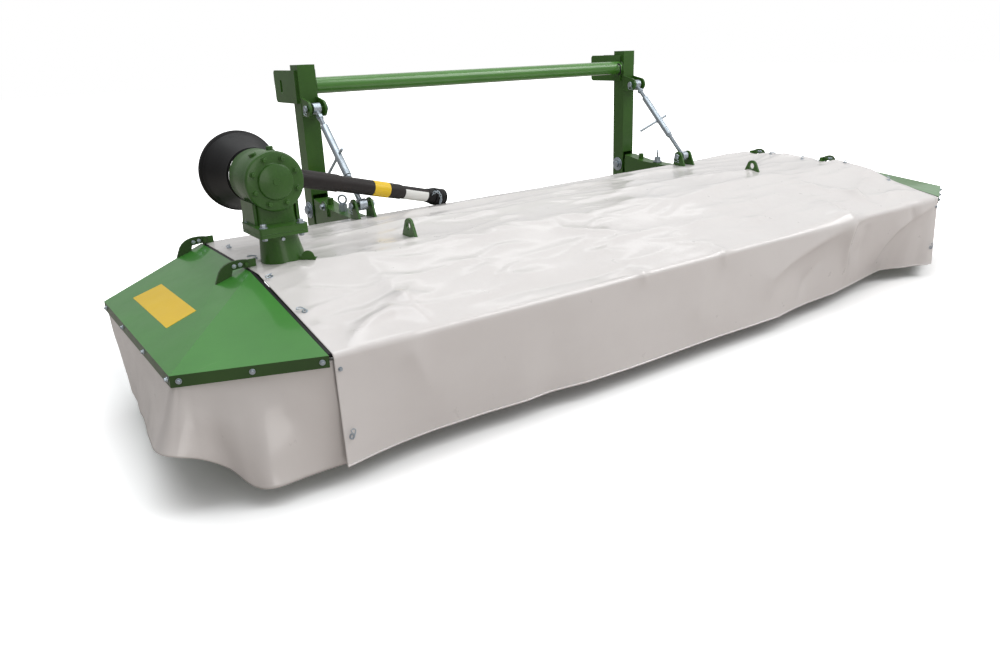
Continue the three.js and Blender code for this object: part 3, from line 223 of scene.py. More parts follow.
def plate(outline, depth, origin, along, over):
    """A flat outline of (a, b) pairs at origin + a along + b over, made solid by depth along their cross."""
    a, b = np.asarray(outline, float).T
    along, over = np.asarray(along, float), np.asarray(over, float)
    face = np.asarray(origin, float) + a[:, None] * along + b[:, None] * over
    points = np.vstack([face, face + depth * unit(np.cross(along, over))])
    n = len(a)
    rim = quads(2, n, wrap_columns=True)
    return outward((points, [rim, np.arange(n)[None, ::-1], np.arange(n, 2 * n)[None, :]]))


def arc(centre, radius, start, end, count):
    """Points on a circle in a plane, from one angle to another, in degrees."""
    t = np.radians(np.linspace(start, end, count))
    return [(centre[0] + radius * math.cos(a), centre[1] + radius * math.sin(a)) for a in t]


def turned_ring(inner, outer, width, origin, axis, sides=32, ease=MM):
    """A hollow ring, centred on its origin, with its four edges eased."""
    half = width / 2
    profile = [
        (-half + ease, inner), (-half, inner + ease), (-half, outer - ease), (-half + ease, outer),
        (half - ease, outer), (half, outer - ease), (half, inner + ease), (half - ease, inner),
    ]
    return turned(profile, origin, axis, sides)


def bolt(at, axis, across=16 * MM, washer=True):
    """A hexagon head, domed by its chamfer, on a washer: turned pieces of 6 and 24 sides."""
    r = across / math.sqrt(3)
    lift = 2.2 * MM if washer else 0
    shapes = []
    if washer:
        shapes.append(turned([(-MM, 0), (-MM, r * 1.45), (lift * 0.6, r * 1.45), (lift, r * 1.38),
                              (lift, 0)],
                             at, axis, 24))
    top = lift + across * 0.62
    shapes.append(turned([(lift - MM, 0), (lift - MM, r), (top - r * 0.16, r), (top, r * 0.82), (top, 0)],
                         at, axis, 6, turn=0.3))
    return joined(shapes)


print("shape helpers ready")

# %% [markdown]
# ## From arrays to pieces
# A piece is an object that rides on one body of the frame, so that it moves with that body, and takes the
# material it is given. Faces shade smoothly across shallow angles and stay crisp across steep ones. A
# small bevel on every hard edge catches the light, as paint does where it rounds an edge.

# %% Pieces
SMOOTH_DEG = 35


def piece(name, shape, material, body, bevel=0.0, smooth=SMOOTH_DEG):
    """An object made from a shape, with its finish, riding on a body."""
    points, faces = shape
    mesh = bpy.data.meshes.new(name)
    mesh.from_pydata(points.tolist(), [], [face for group in faces for face in group.tolist()])
    made = bpy.data.objects.new(name, mesh)
    bpy.context.scene.collection.objects.link(made)
    finish_piece(made, material, bevel, smooth)
    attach(made, body)
    return made


def finish_piece(made, material, bevel, smooth):
    """Gives a piece its material, its shading and a bevel along its hard edges."""
    mesh = made.data
    mesh.materials.clear()
    mesh.materials.append(material)
    mesh.shade_smooth()
    mesh.set_sharp_from_angle(angle=math.radians(smooth))
    if bevel:
        ease = made.modifiers.new("eased edges", "BEVEL")
        ease.width = bevel
        ease.segments = 2
        ease.limit_method = "ANGLE"
        ease.angle_limit = math.radians(smooth)
        ease.harden_normals = True


def eased(node, material, bevel=2 * MM, smooth=SMOOTH_DEG):
    """The frame node's own surface as a piece: its loose triangles merged, flat cuts dissolved, edges
    eased."""
    mesh = nodes[node].data.copy()
    work = bmesh.new()
    work.from_mesh(mesh)
    bmesh.ops.remove_doubles(work, verts=work.verts, dist=0.02 * MM)
    bmesh.ops.dissolve_limit(
        work, angle_limit=math.radians(0.8), verts=work.verts, edges=work.edges,
        use_dissolve_boundaries=False
    )
    work.to_mesh(mesh)
    work.free()
    made = bpy.data.objects.new(node + "_finished", mesh)
    bpy.context.scene.collection.objects.link(made)
    finish_piece(made, material, bevel, smooth)
    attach(made, nodes[node]["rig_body"])
    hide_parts(node)
    return made


# %% [markdown]
# ## Finishes
# Real paint is never one flat colour: it mottles, its gloss varies, and orange peel ripples its reflection.
# Effects that several finishes share are node groups with named inputs, and each finish feeds them its own
# values. The groups give out only masks and heights. The shaders stay in the materials.

# %% Node helpers and shared effects
def rgb(red, green, blue):
    """A colour as written in 0 to 255 steps, changed to the linear values that shaders use."""
    c = np.array([red, green, blue]) / 255.0
    linear = np.where(c <= 0.04045, c / 12.92, ((c + 0.055) / 1.055) ** 2.4)
    return (*linear.tolist(), 1.0)


def new_group(name, inputs):
    """A shader node group with a Vector input and named number inputs."""
    group = bpy.data.node_groups.new(name, "ShaderNodeTree")
    group.interface.new_socket("Vector", in_out="INPUT", socket_type="NodeSocketVector")
    for label, value in inputs.items():
        socket = group.interface.new_socket(label, in_out="INPUT", socket_type="NodeSocketFloat")
        socket.default_value = value
    return group, group.nodes.new("NodeGroupInput"), group.nodes.new("NodeGroupOutput")


def noise(tree, vector, scale, detail=4.0, roughness=0.55):
    """A noise texture whose scale may be a number or another node's output."""
    node = tree.nodes.new("ShaderNodeTexNoise")
    node.inputs["Detail"].default_value = detail
    node.inputs["Roughness"].default_value = roughness
    tree.links.new(vector, node.inputs["Vector"])
    if hasattr(scale, "is_linked"):
        tree.links.new(scale, node.inputs["Scale"])
    else:
        node.inputs["Scale"].default_value = scale
    return node.outputs["Fac"]


def math_node(tree, operation, first, second=None, clamp=False):
    """One arithmetic step between node outputs or numbers."""
    node = tree.nodes.new("ShaderNodeMath")
    node.operation = operation
    node.use_clamp = clamp
    for socket, value in zip(node.inputs, (first, second)):
        if value is None:
            continue
        if hasattr(value, "is_linked"):
            tree.links.new(value, socket)
        else:
            socket.default_value = value
    return node.outputs[0]


def ramp(tree, value, low, high):
    """The value stretched so that low becomes 0 and high becomes 1, and held there."""
    node = tree.nodes.new("ShaderNodeMapRange")
    node.inputs["From Min"].default_value = low
    node.inputs["From Max"].default_value = high
    tree.links.new(value, node.inputs["Value"])
    return node.outputs["Result"]


def mottle_group():
    """Mask: broad clouds of noise, squeezed towards their middle, for uneven paint, dust and dye."""
    group, inlet, outlet = new_group("mottle", {"Scale": 6.0, "Contrast": 1.0})
    group.interface.new_socket("Mask", in_out="OUTPUT", socket_type="NodeSocketFloat")
    clouds = noise(group, inlet.outputs["Vector"], inlet.outputs["Scale"], 6.0, 0.6)
    away = math_node(group, "SUBTRACT", clouds, 0.5)
    mask = math_node(group, "ADD", math_node(group, "MULTIPLY", away, inlet.outputs["Contrast"]), 0.5, True)
    group.links.new(mask, outlet.inputs["Mask"])
    return group


def peel_group():
    """Height: the fine ripple of sprayed paint, or the coarse grain of a casting where Scale is low."""
    group, inlet, outlet = new_group("peel", {"Scale": 220.0, "Pits": 0.0})
    group.interface.new_socket("Height", in_out="OUTPUT", socket_type="NodeSocketFloat")
    ripple = noise(group, inlet.outputs["Vector"], inlet.outputs["Scale"], 2.0, 0.45)
    pits = noise(group, inlet.outputs["Vector"], math_node(group, "MULTIPLY", inlet.outputs["Scale"], 2.6),
                 3.0)
    deep = math_node(group, "MULTIPLY", ramp(group, pits, 0.58, 0.75), inlet.outputs["Pits"])
    group.links.new(math_node(group, "SUBTRACT", ripple, deep), outlet.inputs["Height"])
    return group


def scuff_group():
    """Mask: short thin scratches, as noise stretched along X and sharpened, inside a few cloudy patches."""
    group, inlet, outlet = new_group("scuff", {"Scale": 30.0, "Amount": 0.5})
    group.interface.new_socket("Mask", in_out="OUTPUT", socket_type="NodeSocketFloat")
    stretch = group.nodes.new("ShaderNodeMapping")
    stretch.inputs["Scale"].default_value = (0.12, 1.0, 1.0)
    stretch.inputs["Rotation"].default_value = (0.3, 0.5, 0.7)
    group.links.new(inlet.outputs["Vector"], stretch.inputs["Vector"])
    lines = ramp(group, noise(group, stretch.outputs["Vector"], inlet.outputs["Scale"], 3.0), 0.66, 0.72)
    patches = ramp(group, noise(group, inlet.outputs["Vector"], 5.0, 2.0), 0.52, 0.68)
    both = math_node(group, "MULTIPLY", lines, patches)
    group.links.new(math_node(group, "MULTIPLY", both, inlet.outputs["Amount"]), outlet.inputs["Mask"])
    return group


GROUPS = {"mottle": mottle_group(), "peel": peel_group(), "scuff": scuff_group()}
print("shared effects:", ", ".join(GROUPS))


# %% Building a material
class Finish:
    """A material under construction: a Principled shader, and helpers that feed its sockets."""

    def __init__(self, name, coordinate="Object"):
        self.material = bpy.data.materials.new(name)
        self.material.use_nodes = True
        self.tree = self.material.node_tree
        self.shader = self.tree.nodes["Principled BSDF"]
        self.vector = self.tree.nodes.new("ShaderNodeTexCoord").outputs[coordinate]

    def set(self, **values):
        """Constants on the shader's own sockets, named with underscores for spaces."""
        for label, value in values.items():
            self.shader.inputs[label.replace("_", " ")].default_value = value
        return self

    def effect(self, group, **values):
        """A shared effect placed in this material; returns its first output."""
        node = self.tree.nodes.new("ShaderNodeGroup")
        node.node_tree = GROUPS[group]
        self.tree.links.new(self.vector, node.inputs["Vector"])
        for label, value in values.items():
            node.inputs[label].default_value = value
        return node.outputs[0]

    def blend(self, mask, low, high):
        """A colour between two, chosen by a mask; either may be another blend's output."""
        node = self.tree.nodes.new("ShaderNodeMix")
        node.data_type = "RGBA"
        self.tree.links.new(mask, node.inputs[0])
        for socket, colour in ((node.inputs[6], low), (node.inputs[7], high)):
            if hasattr(colour, "is_linked"):
                self.tree.links.new(colour, socket)
            else:
                socket.default_value = colour
        return node.outputs[2]

    def span(self, mask, low, high):
        """A number between two, chosen by a mask."""
        scaled = math_node(self.tree, "MULTIPLY", mask, high - low)
        return math_node(self.tree, "ADD", scaled, low)

    def feed(self, label, output):
        """Links a node's output to one of the shader's sockets."""
        self.tree.links.new(output, self.shader.inputs[label])
        return self

    def bump(self, height, distance, strength=1.0):
        """Feeds the shader's normal from a height, whose full range stands for a distance in metres."""
        node = self.tree.nodes.new("ShaderNodeBump")
        node.inputs["Distance"].default_value = distance
        node.inputs["Strength"].default_value = strength
        self.tree.links.new(height, node.inputs["Height"])
        self.tree.links.new(node.outputs["Normal"], self.shader.inputs["Normal"])
        return self


# %% [markdown]
# ## The finishes of this machine
# Frame and castings wear a deep green enamel, and the sheet-steel ends a lighter one. Fittings are zinc
# plated, and the wearing parts underneath are bare steel, scoured by crop. The cloth is a coated fabric
# with a soft gloss, so its colour is plain and its form and creases do the work.

# %% Painted finishes
def enamel(name, shade, dark, pale, peel=200.0, pits=0.0, ripple=0.15 * MM, rough=0.34, coat=0.7, gloss=0.14,
           scuffs=0.25):
    """Sprayed green enamel: mottled between two shades, with dust-pale scuffs and a rippled coat."""
    finish = Finish(name)
    cloud = finish.effect("mottle", Scale=5.0, Contrast=1.6)
    base = finish.blend(cloud, dark, shade)
    finish.feed("Base Color", finish.blend(finish.effect("scuff", Scale=42.0, Amount=scuffs), base, pale))
    finish.feed("Roughness", finish.span(finish.effect("mottle", Scale=14.0, Contrast=1.3), rough,
                                         rough + 0.16))
    finish.bump(finish.effect("peel", Scale=peel, Pits=pits), ripple)
    finish.set(Coat_Weight=coat, Coat_Roughness=gloss, Specular_IOR_Level=0.35)
    return finish.material


frame_paint = enamel("frame_enamel", rgb(54, 100, 24), rgb(44, 84, 19), rgb(110, 130, 80), coat=0.35,
                     gloss=0.12)
# The cross tube wears the frame's green made lighter, a painted highlight, under a glossier coat.
tube_highlight_paint = enamel("tube_highlight_enamel", rgb(72, 132, 42), rgb(60, 116, 34), rgb(130, 155, 100), coat=1.0,
                    gloss=0.16)
# A darker copy of the guards' green for their lips and hinge hooks: painted shade on the lips.
lip_shade_paint = enamel("lip_shade_enamel", rgb(50, 84, 30), rgb(40, 70, 24), rgb(110, 125, 85), rough=0.4, coat=0.2)
sheet_paint = enamel("sheet_enamel", rgb(62, 136, 48), rgb(54, 122, 42), rgb(140, 165, 125),
                     peel=120.0, ripple=0.06 * MM, rough=0.26, coat=0.5, gloss=0.07, scuffs=0.08)
cast_paint = enamel("casting_enamel", rgb(54, 100, 26), rgb(40, 80, 19), rgb(110, 132, 80),
                    peel=95.0, pits=0.4, ripple=0.7 * MM, rough=0.36, coat=0.45, gloss=0.2)
bar_paint = enamel("bar_enamel", rgb(48, 82, 40), rgb(60, 66, 48), rgb(120, 118, 104), rough=0.5, coat=0.05)
patch_yellow = enamel("yellow_film", rgb(238, 200, 30), rgb(226, 186, 26), rgb(240, 215, 90),
                      peel=60.0, ripple=0.05 * MM, rough=0.35, coat=0.3)
patch_white = enamel("white_film", rgb(232, 232, 228), rgb(220, 220, 216), rgb(240, 240, 238),
                     peel=60.0, ripple=0.05 * MM, rough=0.35, coat=0.3)


# %% Metal and plastic
def metal(name, shade, dark, stain, rough, grain, amount=0.5, ripple=0.1 * MM):
    """Bare or plated metal: cloudy brightness, a stain in the cloud's hollows, and fine scratches."""
    finish = Finish(name)
    cloud = finish.effect("mottle", Scale=grain, Contrast=2.0)
    base = finish.blend(cloud, dark, shade)
    marks = finish.effect("mottle", Scale=9.0, Contrast=3.5)
    worn = math_node(finish.tree, "MULTIPLY", marks, amount)
    finish.feed("Base Color", finish.blend(worn, base, stain))
    finish.feed("Roughness", finish.span(marks, rough, rough + 0.2))
    finish.bump(finish.effect("scuff", Scale=80.0, Amount=1.0), ripple)
    finish.set(Metallic=1.0)
    return finish.material


zinc = metal("zinc_plate", rgb(196, 206, 214), rgb(168, 180, 190), rgb(150, 156, 160), 0.30, 55.0, 0.4)
steel = metal("worn_steel", rgb(168, 168, 165), rgb(128, 126, 122), rgb(110, 84, 64), 0.38, 24.0, 0.45)
knife_steel = metal("knife_steel", rgb(190, 192, 194), rgb(150, 150, 150), rgb(120, 100, 84), 0.28, 40.0,
                    0.3)


def plastic(name, shade, pale, rough, grain, ripple, coat=0.0):
    """Moulded plastic or rubber: near-black, slightly bloomed, with a fine moulded grain."""
    finish = Finish(name)
    bloom = finish.effect("mottle", Scale=7.0, Contrast=2.2)
    finish.feed("Base Color", finish.blend(bloom, shade, pale))
    finish.feed("Roughness", finish.span(bloom, rough, rough + 0.14))
    finish.bump(finish.effect("peel", Scale=grain, Pits=0.2), ripple)
    finish.set(Coat_Weight=coat, Coat_Roughness=0.3, Specular_IOR_Level=0.3)
    return finish.material


black_plastic = plastic("black_plastic", rgb(12, 12, 13), rgb(20, 19, 21), 0.42, 420.0, 0.12 * MM)
shaft_plastic = plastic("shaft_plastic", rgb(30, 26, 26), rgb(42, 37, 36), 0.42, 300.0, 0.15 * MM)
print("metals and plastics ready")

# %% Coated cloth
def coated_cloth(name, shade, dark, rough=0.31):
    """Coated fabric: a soft gloss over a fine weave, faint dirt, and wandering dents too small to model."""
    finish = Finish(name, "UV")
    cloud = finish.effect("mottle", Scale=3.2, Contrast=1.1)
    grime = finish.effect("mottle", Scale=17.0, Contrast=2.6)
    finish.feed("Base Color", finish.blend(finish.span(grime, 0.0, 0.12), finish.blend(cloud, shade, dark),
                                           dark))
    finish.feed("Roughness", finish.span(grime, rough - 0.04, rough + 0.07))
    waves = []
    for angle in (0.0, math.pi / 2):
        thread = finish.tree.nodes.new("ShaderNodeTexWave")
        thread.inputs["Scale"].default_value = 160.0
        turn = finish.tree.nodes.new("ShaderNodeMapping")
        turn.inputs["Rotation"].default_value = (0.0, 0.0, angle)
        finish.tree.links.new(finish.vector, turn.inputs["Vector"])
        finish.tree.links.new(turn.outputs["Vector"], thread.inputs["Vector"])
        waves.append(thread.outputs["Fac"])
    weave = math_node(finish.tree, "MULTIPLY", math_node(finish.tree, "ADD", *waves), 0.02)
    dents = noise(finish.tree, finish.vector, 9.0, 5.0, 0.5)
    finish.bump(math_node(finish.tree, "ADD", weave, dents), 2.0 * MM, 0.6)
    finish.set(Coat_Weight=0.65, Coat_Roughness=0.12)
    return finish.material


white_cloth = coated_cloth("white_cloth", rgb(222, 219, 217), rgb(211, 206, 204))
# The end cloths are the same fabric as the cover, in a darker copy that stands for painted shade.
grey_cloth = coated_cloth("grey_cloth", rgb(214, 209, 206), rgb(203, 198, 195))

# %% [markdown]
# ## The cover cloth
# One sheet hooks over the deck's rear edge, lies on the deck, slopes to the front tube, rolls round it and
# hangs to the ground. Its section is a path of straight runs and one arc. Folds raise or lower the sheet
# along its normal. A fold is a broken line with a height at each point, and the cloth falls away from it on
# both sides like a tent, which gives creases with flat facets between them. The hem
# wanders, so the curtain leans in and out along its length.

# %% The cover's section and its folds
tube_low, tube_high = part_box("cover_front_tube")
deck_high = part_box("top_cover")[1]
COVER_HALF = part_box("front_curtain")[1].x
COVER_THICK = 2.5 * MM
TUBE_Y, TUBE_Z = (tube_low.y + tube_high.y) / 2, (tube_low.z + tube_high.z) / 2
ROLL_R = (tube_high.z - tube_low.z) / 2 + COVER_THICK + 2 * MM
DECK_Z = deck_high.z + 0.4 * MM
REAR_Y = deck_high.y + 2.2 * MM
BEND_Y, BEND_Z = -0.345, DECK_Z - 0.8 * MM
HEM_Z = 0.060

fall = math.atan2(BEND_Z - TUBE_Z, BEND_Y - TUBE_Y) - math.asin(
    ROLL_R / math.hypot(BEND_Z - TUBE_Z, BEND_Y - TUBE_Y)
)
corner = [(REAR_Y - 0.006 + y, DECK_Z - 0.006 + z) for y, z in arc((0, 0), 0.006, 0, 90, 4)]
roll = [(TUBE_Y + y, TUBE_Z + z) for y, z in arc((0, 0), ROLL_R, 90 + math.degrees(fall), 180, 14)]
section = np.array([(REAR_Y, 0.486)] + corner + [(-0.308, DECK_Z), (BEND_Y, BEND_Z)] + roll
                   + [(TUBE_Y - ROLL_R, HEM_Z)])
along = np.concatenate([[0], np.cumsum(np.linalg.norm(np.diff(section, axis=0), axis=1))])
q_deck, q_bend, q_roll = along[4], along[6], along[7]
q_curtain, q_hem = along[7 + len(roll) - 1], along[-1]


def top(x, y):
    """The sheet's own coordinates of a place on top, given by X and Y."""
    rising = section[1:8]
    return x, float(np.interp(-y, -rising[:, 0], along[1:8]))


def hang(x, z):
    """The sheet's own coordinates of a place on the hanging part, given by X and Z."""
    return x, float(q_curtain + (TUBE_Z - z))


def fold(x, q, line, heights, width, back=None):
    """A tent along a broken line: height at the nearest point of the line, times exp(-distance / width).
    Where back is given it is the width on the side of smaller q. Heights are in millimetres, and FOLD_HEIGHT
    and FOLD_SPREAD scale every height and width."""
    line, heights = np.asarray(line, float), np.asarray(heights, float) * FOLD_HEIGHT * MM
    best = np.full(x.shape, np.inf)
    height = np.zeros(x.shape)
    side = np.zeros(x.shape)
    for k in range(len(line) - 1):
        step = line[k + 1] - line[k]
        t = ((x - line[k, 0]) * step[0] + (q - line[k, 1]) * step[1]) / (step @ step)
        t = np.clip(t, 0, 1)
        d = np.hypot(x - line[k, 0] - t * step[0], q - line[k, 1] - t * step[1])
        nearer = d < best
        best = np.where(nearer, d, best)
        height = np.where(nearer, heights[k] + t * (heights[k + 1] - heights[k]), height)
        side = np.where(nearer, q - line[k, 1] - t * step[1], side)
    spread = np.where(side < 0, back or width, width) * FOLD_SPREAD
    return height * np.exp(-best / spread)


FULLEST = 46 * MM
FOLD_HEIGHT, FOLD_SPREAD = 1.75, 0.72
HOOKS_Y = (-0.246, 0.216)
FOLDS = [
    # the sheet stands off the deck along its rear edge and over the right-hand hinges
    ([top(-0.6, 0.235), top(0.0, 0.235), top(0.49, 0.235), top(1.1, 0.235), top(1.38, 0.235),
      top(1.6, 0.235)],
     [0, 2, 7, 10, 18, 12], 0.07, None),
    ([top(1.585, 0.20), top(1.585, 0.0), top(1.585, -0.22), top(1.585, -0.48), top(1.585, -0.66)],
     [6, 18, 6, 18, 3], 0.10, None),
    # the long crest over the deck, and the lower one behind it
    ([top(-1.58, 0.02), top(-1.2, -0.06), top(-0.9, -0.02), top(-0.55, -0.13), top(-0.2, -0.09),
      top(0.25, -0.17),
      top(0.6, -0.13), top(0.95, -0.22), top(1.25, -0.14), top(1.55, -0.20)],
     [2, 13, 17, 20, 17, 21, 17, 20, 15, 3], 0.13, 0.045),
    ([top(-1.5, 0.17), top(-0.8, 0.13), top(-0.3, 0.17), top(0.2, 0.11), top(0.7, 0.16), top(1.3, 0.10)],
     [2, 9, 7, 11, 8, 2], 0.035, 0.06),
    ([top(-1.0, 0.07), top(-0.4, 0.03), top(0.1, 0.05), top(0.5, 0.0)], [0, 6, 5, 0], 0.03, 0.03),
    # the left front corner
    ([top(-1.23, -0.29), top(-1.25, -0.47), top(-1.28, -0.64), top(-1.28, -0.70)], [0, 5, 8, 11], 0.07,
     None),
    ([top(-1.17, -0.58), top(-1.28, -0.70)], [0, 9], 0.03, None),
    ([top(-1.28, -0.70), top(-1.28, -0.80), top(-1.27, -0.862)], [10, 5, 0], 0.03, None),
    ([top(-1.545, -0.862), top(-1.49, -0.81), top(-1.42, -0.77), top(-1.35, -0.745), top(-1.30, -0.78),
      top(-1.27, -0.86)], [0, 10, 15, 16, 11, 0], 0.05, 0.035),
    ([top(-1.06, -0.66), top(-0.90, -0.60)], [0, 5], 0.025, None),
    # the middle of the slope
    ([top(-1.22, -0.80), top(-0.9, -0.79), top(-0.6, -0.81), top(-0.37, -0.80)], [0, -7, -7, 0], 0.05, None),
    ([top(-0.39, -0.31), top(-0.44, -0.45), top(-0.31, -0.53), top(-0.17, -0.59)], [0, 6, 6, 0], 0.05, None),
    ([top(-0.17, -0.59), top(0.3, -0.63), top(0.62, -0.60)], [0, 6, 0], 0.06, None),
    ([top(0.90, -0.32), top(0.45, -0.37), top(0.0, -0.43)], [3, 8, 0], 0.06, 0.03),
    ([top(0.18, -0.54), top(0.55, -0.55), top(0.92, -0.51)], [0, 8, 0], 0.05, 0.03),
    ([top(-0.95, -0.42), top(-0.7, -0.38), top(-0.5, -0.41)], [0, 5, 0], 0.05, None),
    # peaks on the front edge
    ([top(-0.43, -0.80), top(-0.43, -0.862), hang(-0.42, 0.34)], [0, 7, 0], 0.03, None),
    ([top(0.02, -0.78), top(0.0, -0.862), hang(0.0, 0.33)], [0, 9, 0], 0.035, None),
    ([top(0.90, -0.70), top(0.81, -0.855), hang(0.81, 0.375)], [4, 26, 24], 0.07, None),
    # the right curtain, under its peak
    ([hang(0.81, 0.375), hang(0.72, 0.36), hang(0.60, 0.335), hang(0.41, 0.285), hang(0.30, 0.235),
      hang(0.26, 0.14)], [22, 20, 18, 14, 8, 0], 0.05, 0.10),
    ([hang(0.81, 0.375), hang(0.845, 0.25), hang(0.875, 0.18), hang(0.9, 0.08)], [18, 14, 8, 0], 0.035,
     None),
    ([hang(0.66, 0.24), hang(0.55, 0.17), hang(0.50, 0.08)], [-6, -12, -4], 0.06, None),
    ([hang(1.0, 0.375), hang(0.98, 0.24), hang(1.02, 0.1)], [-4, -8, 0], 0.07, None),
    # the right corner
    ([hang(1.60, 0.37), hang(1.42, 0.345), hang(1.27, 0.285), hang(1.20, 0.22), hang(1.16, 0.1)],
     [4, 20, 18, 12, 0], 0.05, 0.09),
    ([top(1.20, -0.73), top(1.32, -0.76), top(1.46, -0.79), top(1.60, -0.83)], [0, 13, 15, 4], 0.05, 0.03),
    ([top(1.05, -0.60), top(1.12, -0.61), top(1.17, -0.69)], [0, 9, 12], 0.035, None),
    ([top(1.17, -0.69), top(1.33, -0.62), top(1.5, -0.56)], [12, 8, 0], 0.035, None),
    ([top(1.17, -0.69), top(1.13, -0.78), top(1.16, -0.862)], [10, 5, 0], 0.04, None),
    ([top(1.25, -0.36), top(1.05, -0.45), top(1.08, -0.60)], [0, 8, 6], 0.05, None),
    ([top(1.32, -0.862), hang(1.36, 0.33), hang(1.33, 0.27)], [0, -9, 0], 0.04, None),
    # shallow swells of the left curtain
    ([hang(-1.36, 0.34), hang(-1.30, 0.2), hang(-1.32, 0.07)], [10, 4, 0], 0.11, None),
    ([hang(-0.85, 0.2), hang(-0.85, 0.07)], [0, 8], 0.06, None),
    ([hang(-0.1, 0.33), hang(-0.15, 0.2), hang(-0.1, 0.1)], [4, 7, 2], 0.10, None),
]

HEM_X = [-1.6, -1.5, -1.4, -1.3, -1.1, -0.95, -0.85, -0.7, -0.5, 0.0, 0.35, 0.45, 0.6, 0.8, 1.0, 1.15, 1.29,
         1.36,
         1.42, 1.5, 1.556, 1.6]
HEM_Y = [-0.897, -0.877, -0.864, -0.858, -0.862, -0.875, -0.866, -0.889, -0.893, -0.890, -0.895, -0.880,
         -0.865,
         -0.858, -0.83, -0.809, -0.790, -0.81, -0.839, -0.858, -0.888, -0.892]


def swells(x, q, seed, count, longest, shortest, height):
    """A sum of sine waves of random direction, whose height falls with their length."""
    rng = np.random.default_rng(seed)
    total = np.zeros(x.shape)
    for length in np.geomspace(longest, shortest, count):
        angle, phase = rng.uniform(0, np.pi), rng.uniform(0, 2 * np.pi)
        total += (length / longest) ** 0.9 * np.sin(
            2 * np.pi * (x * np.cos(angle) + q * np.sin(angle)) / length + phase
        )
    return height * total / math.sqrt(count)


def creases(x, q, seed, count, spacing, height):
    """Fine ridges that run mostly along the machine: one minus the size of a sine, raised to the fifth
    power, whose lines wander and which fade in and out along their length."""
    rng = np.random.default_rng(seed)
    total = np.zeros(x.shape)
    for k in range(count):
        tilt, phase, wander = rng.uniform(-0.16, 0.16), rng.uniform(0, 2 * np.pi), rng.uniform(0.02, 0.05)
        length, shift = rng.uniform(0.5, 1.1), rng.uniform(0, 2 * np.pi)
        across = q + tilt * x + wander * np.sin(2 * np.pi * x / length + shift)
        ridge = (1 - np.abs(np.sin(np.pi * across / (spacing * (1 + 0.35 * k)) + phase))) ** 5
        fade = 0.5 + 0.5 * np.sin(2 * np.pi * (x / (0.8 * length) + q / 0.7) + 3 * phase)
        total += ridge * fade**2
    return height * total


def softened(field, times):
    """The field with each value averaged with its neighbours, several times over."""
    for _ in range(times):
        padded = np.pad(field, 1, mode="edge")
        field = (4 * field + padded[:-2, 1:-1] + padded[2:, 1:-1] + padded[1:-1, :-2] + padded[1:-1, 2:]) / 8
    return field


def soft_max(a, b, k=1.2 * MM):
    """The larger of two fields, rounded where they meet."""
    return np.maximum(a, b) + k * np.log1p(np.exp(-np.abs(a - b) / k))


# %% The cover sheet
columns = np.concatenate([[-COVER_HALF], np.linspace(-COVER_HALF + 0.004, COVER_HALF - 0.004, 298),
                          [COVER_HALF]])
rows = np.unique(np.concatenate([
    along[:5], np.linspace(q_deck, q_bend, 62), np.linspace(q_bend, q_roll, 48),
    np.linspace(q_roll, q_curtain, 13), np.linspace(q_curtain, q_hem, 34),
]).round(6))
q, x = np.meshgrid(rows, columns, indexing="ij")
y0, z0 = np.interp(q, along, section[:, 0]), np.interp(q, along, section[:, 1])
slope_y = np.gradient(np.interp(rows, along, section[:, 0]), rows)
slope_z = np.gradient(np.interp(rows, along, section[:, 1]), rows)
normal_y, normal_z = slope_z[:, None], -slope_y[:, None]
length = np.hypot(normal_y, normal_z)
normal_y, normal_z = normal_y / length, normal_z / length

relief = sum(fold(x, q, line, heights, width, back) for line, heights, width, back in FOLDS)
normal_y = np.where(q <= q_deck + 1e-6, 0.0, normal_y)
normal_z = np.where(q <= q_deck + 1e-6, 1.0, normal_z)
relief += swells(x, q, 7, 9, 0.9, 0.12, 2.8 * MM) + 0.5 * MM
on_top = np.clip((q_roll - 0.02 - q) / 0.08, 0, 1) * np.clip((q - q_deck) / 0.03, 0, 1)
relief += creases(x, q, 21, 6, 0.15, 6.0 * MM) * on_top
ends = np.clip((COVER_HALF - np.abs(x)) / 0.06, 0, 1)
ends = ends * ends * (3 - 2 * ends)
loose = np.where(x > 0, np.clip((q_roll - 0.1 - q) / 0.2, 0, 1), 0)
for hook_y in HOOKS_Y:
    loose *= 1 - np.exp(-(((y0 - hook_y) / 0.05) ** 4))
relief *= ends + (1 - ends) * loose
relief = softened(np.where(relief > 0, FULLEST * np.tanh(relief / FULLEST), relief), 1)
between = np.ones(x.shape)
for arm in ("left_cover_arm", "middle_cover_arm", "right_cover_arm"):
    low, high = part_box(arm)
    between *= 1 - np.exp(-(((x - (low.x + high.x) / 2) / 0.10) ** 2))
lowest = np.where(q < q_bend, 0.0, np.where(q < q_roll, -16 * MM * between, -1 * MM))
lowest = np.where(q > q_curtain + 0.03, -60 * MM, lowest)
relief = soft_max(relief, lowest)

drop = np.clip((q - q_curtain) / (q_hem - q_curtain), 0, 1)
lean = np.interp(x, HEM_X, HEM_Y) - (TUBE_Y - ROLL_R)
lean = softened(np.repeat(lean[:1], 3, axis=0), 2)[1]
hem_wave = swells(x, 0 * q, 3, 7, 1.1, 0.25, 2 * MM)
points = np.stack([
    x,
    y0 + normal_y * relief * (1 - 0.75 * drop**2) + lean * drop**1.15,
    z0 + normal_z * relief + hem_wave * drop,
], axis=-1)


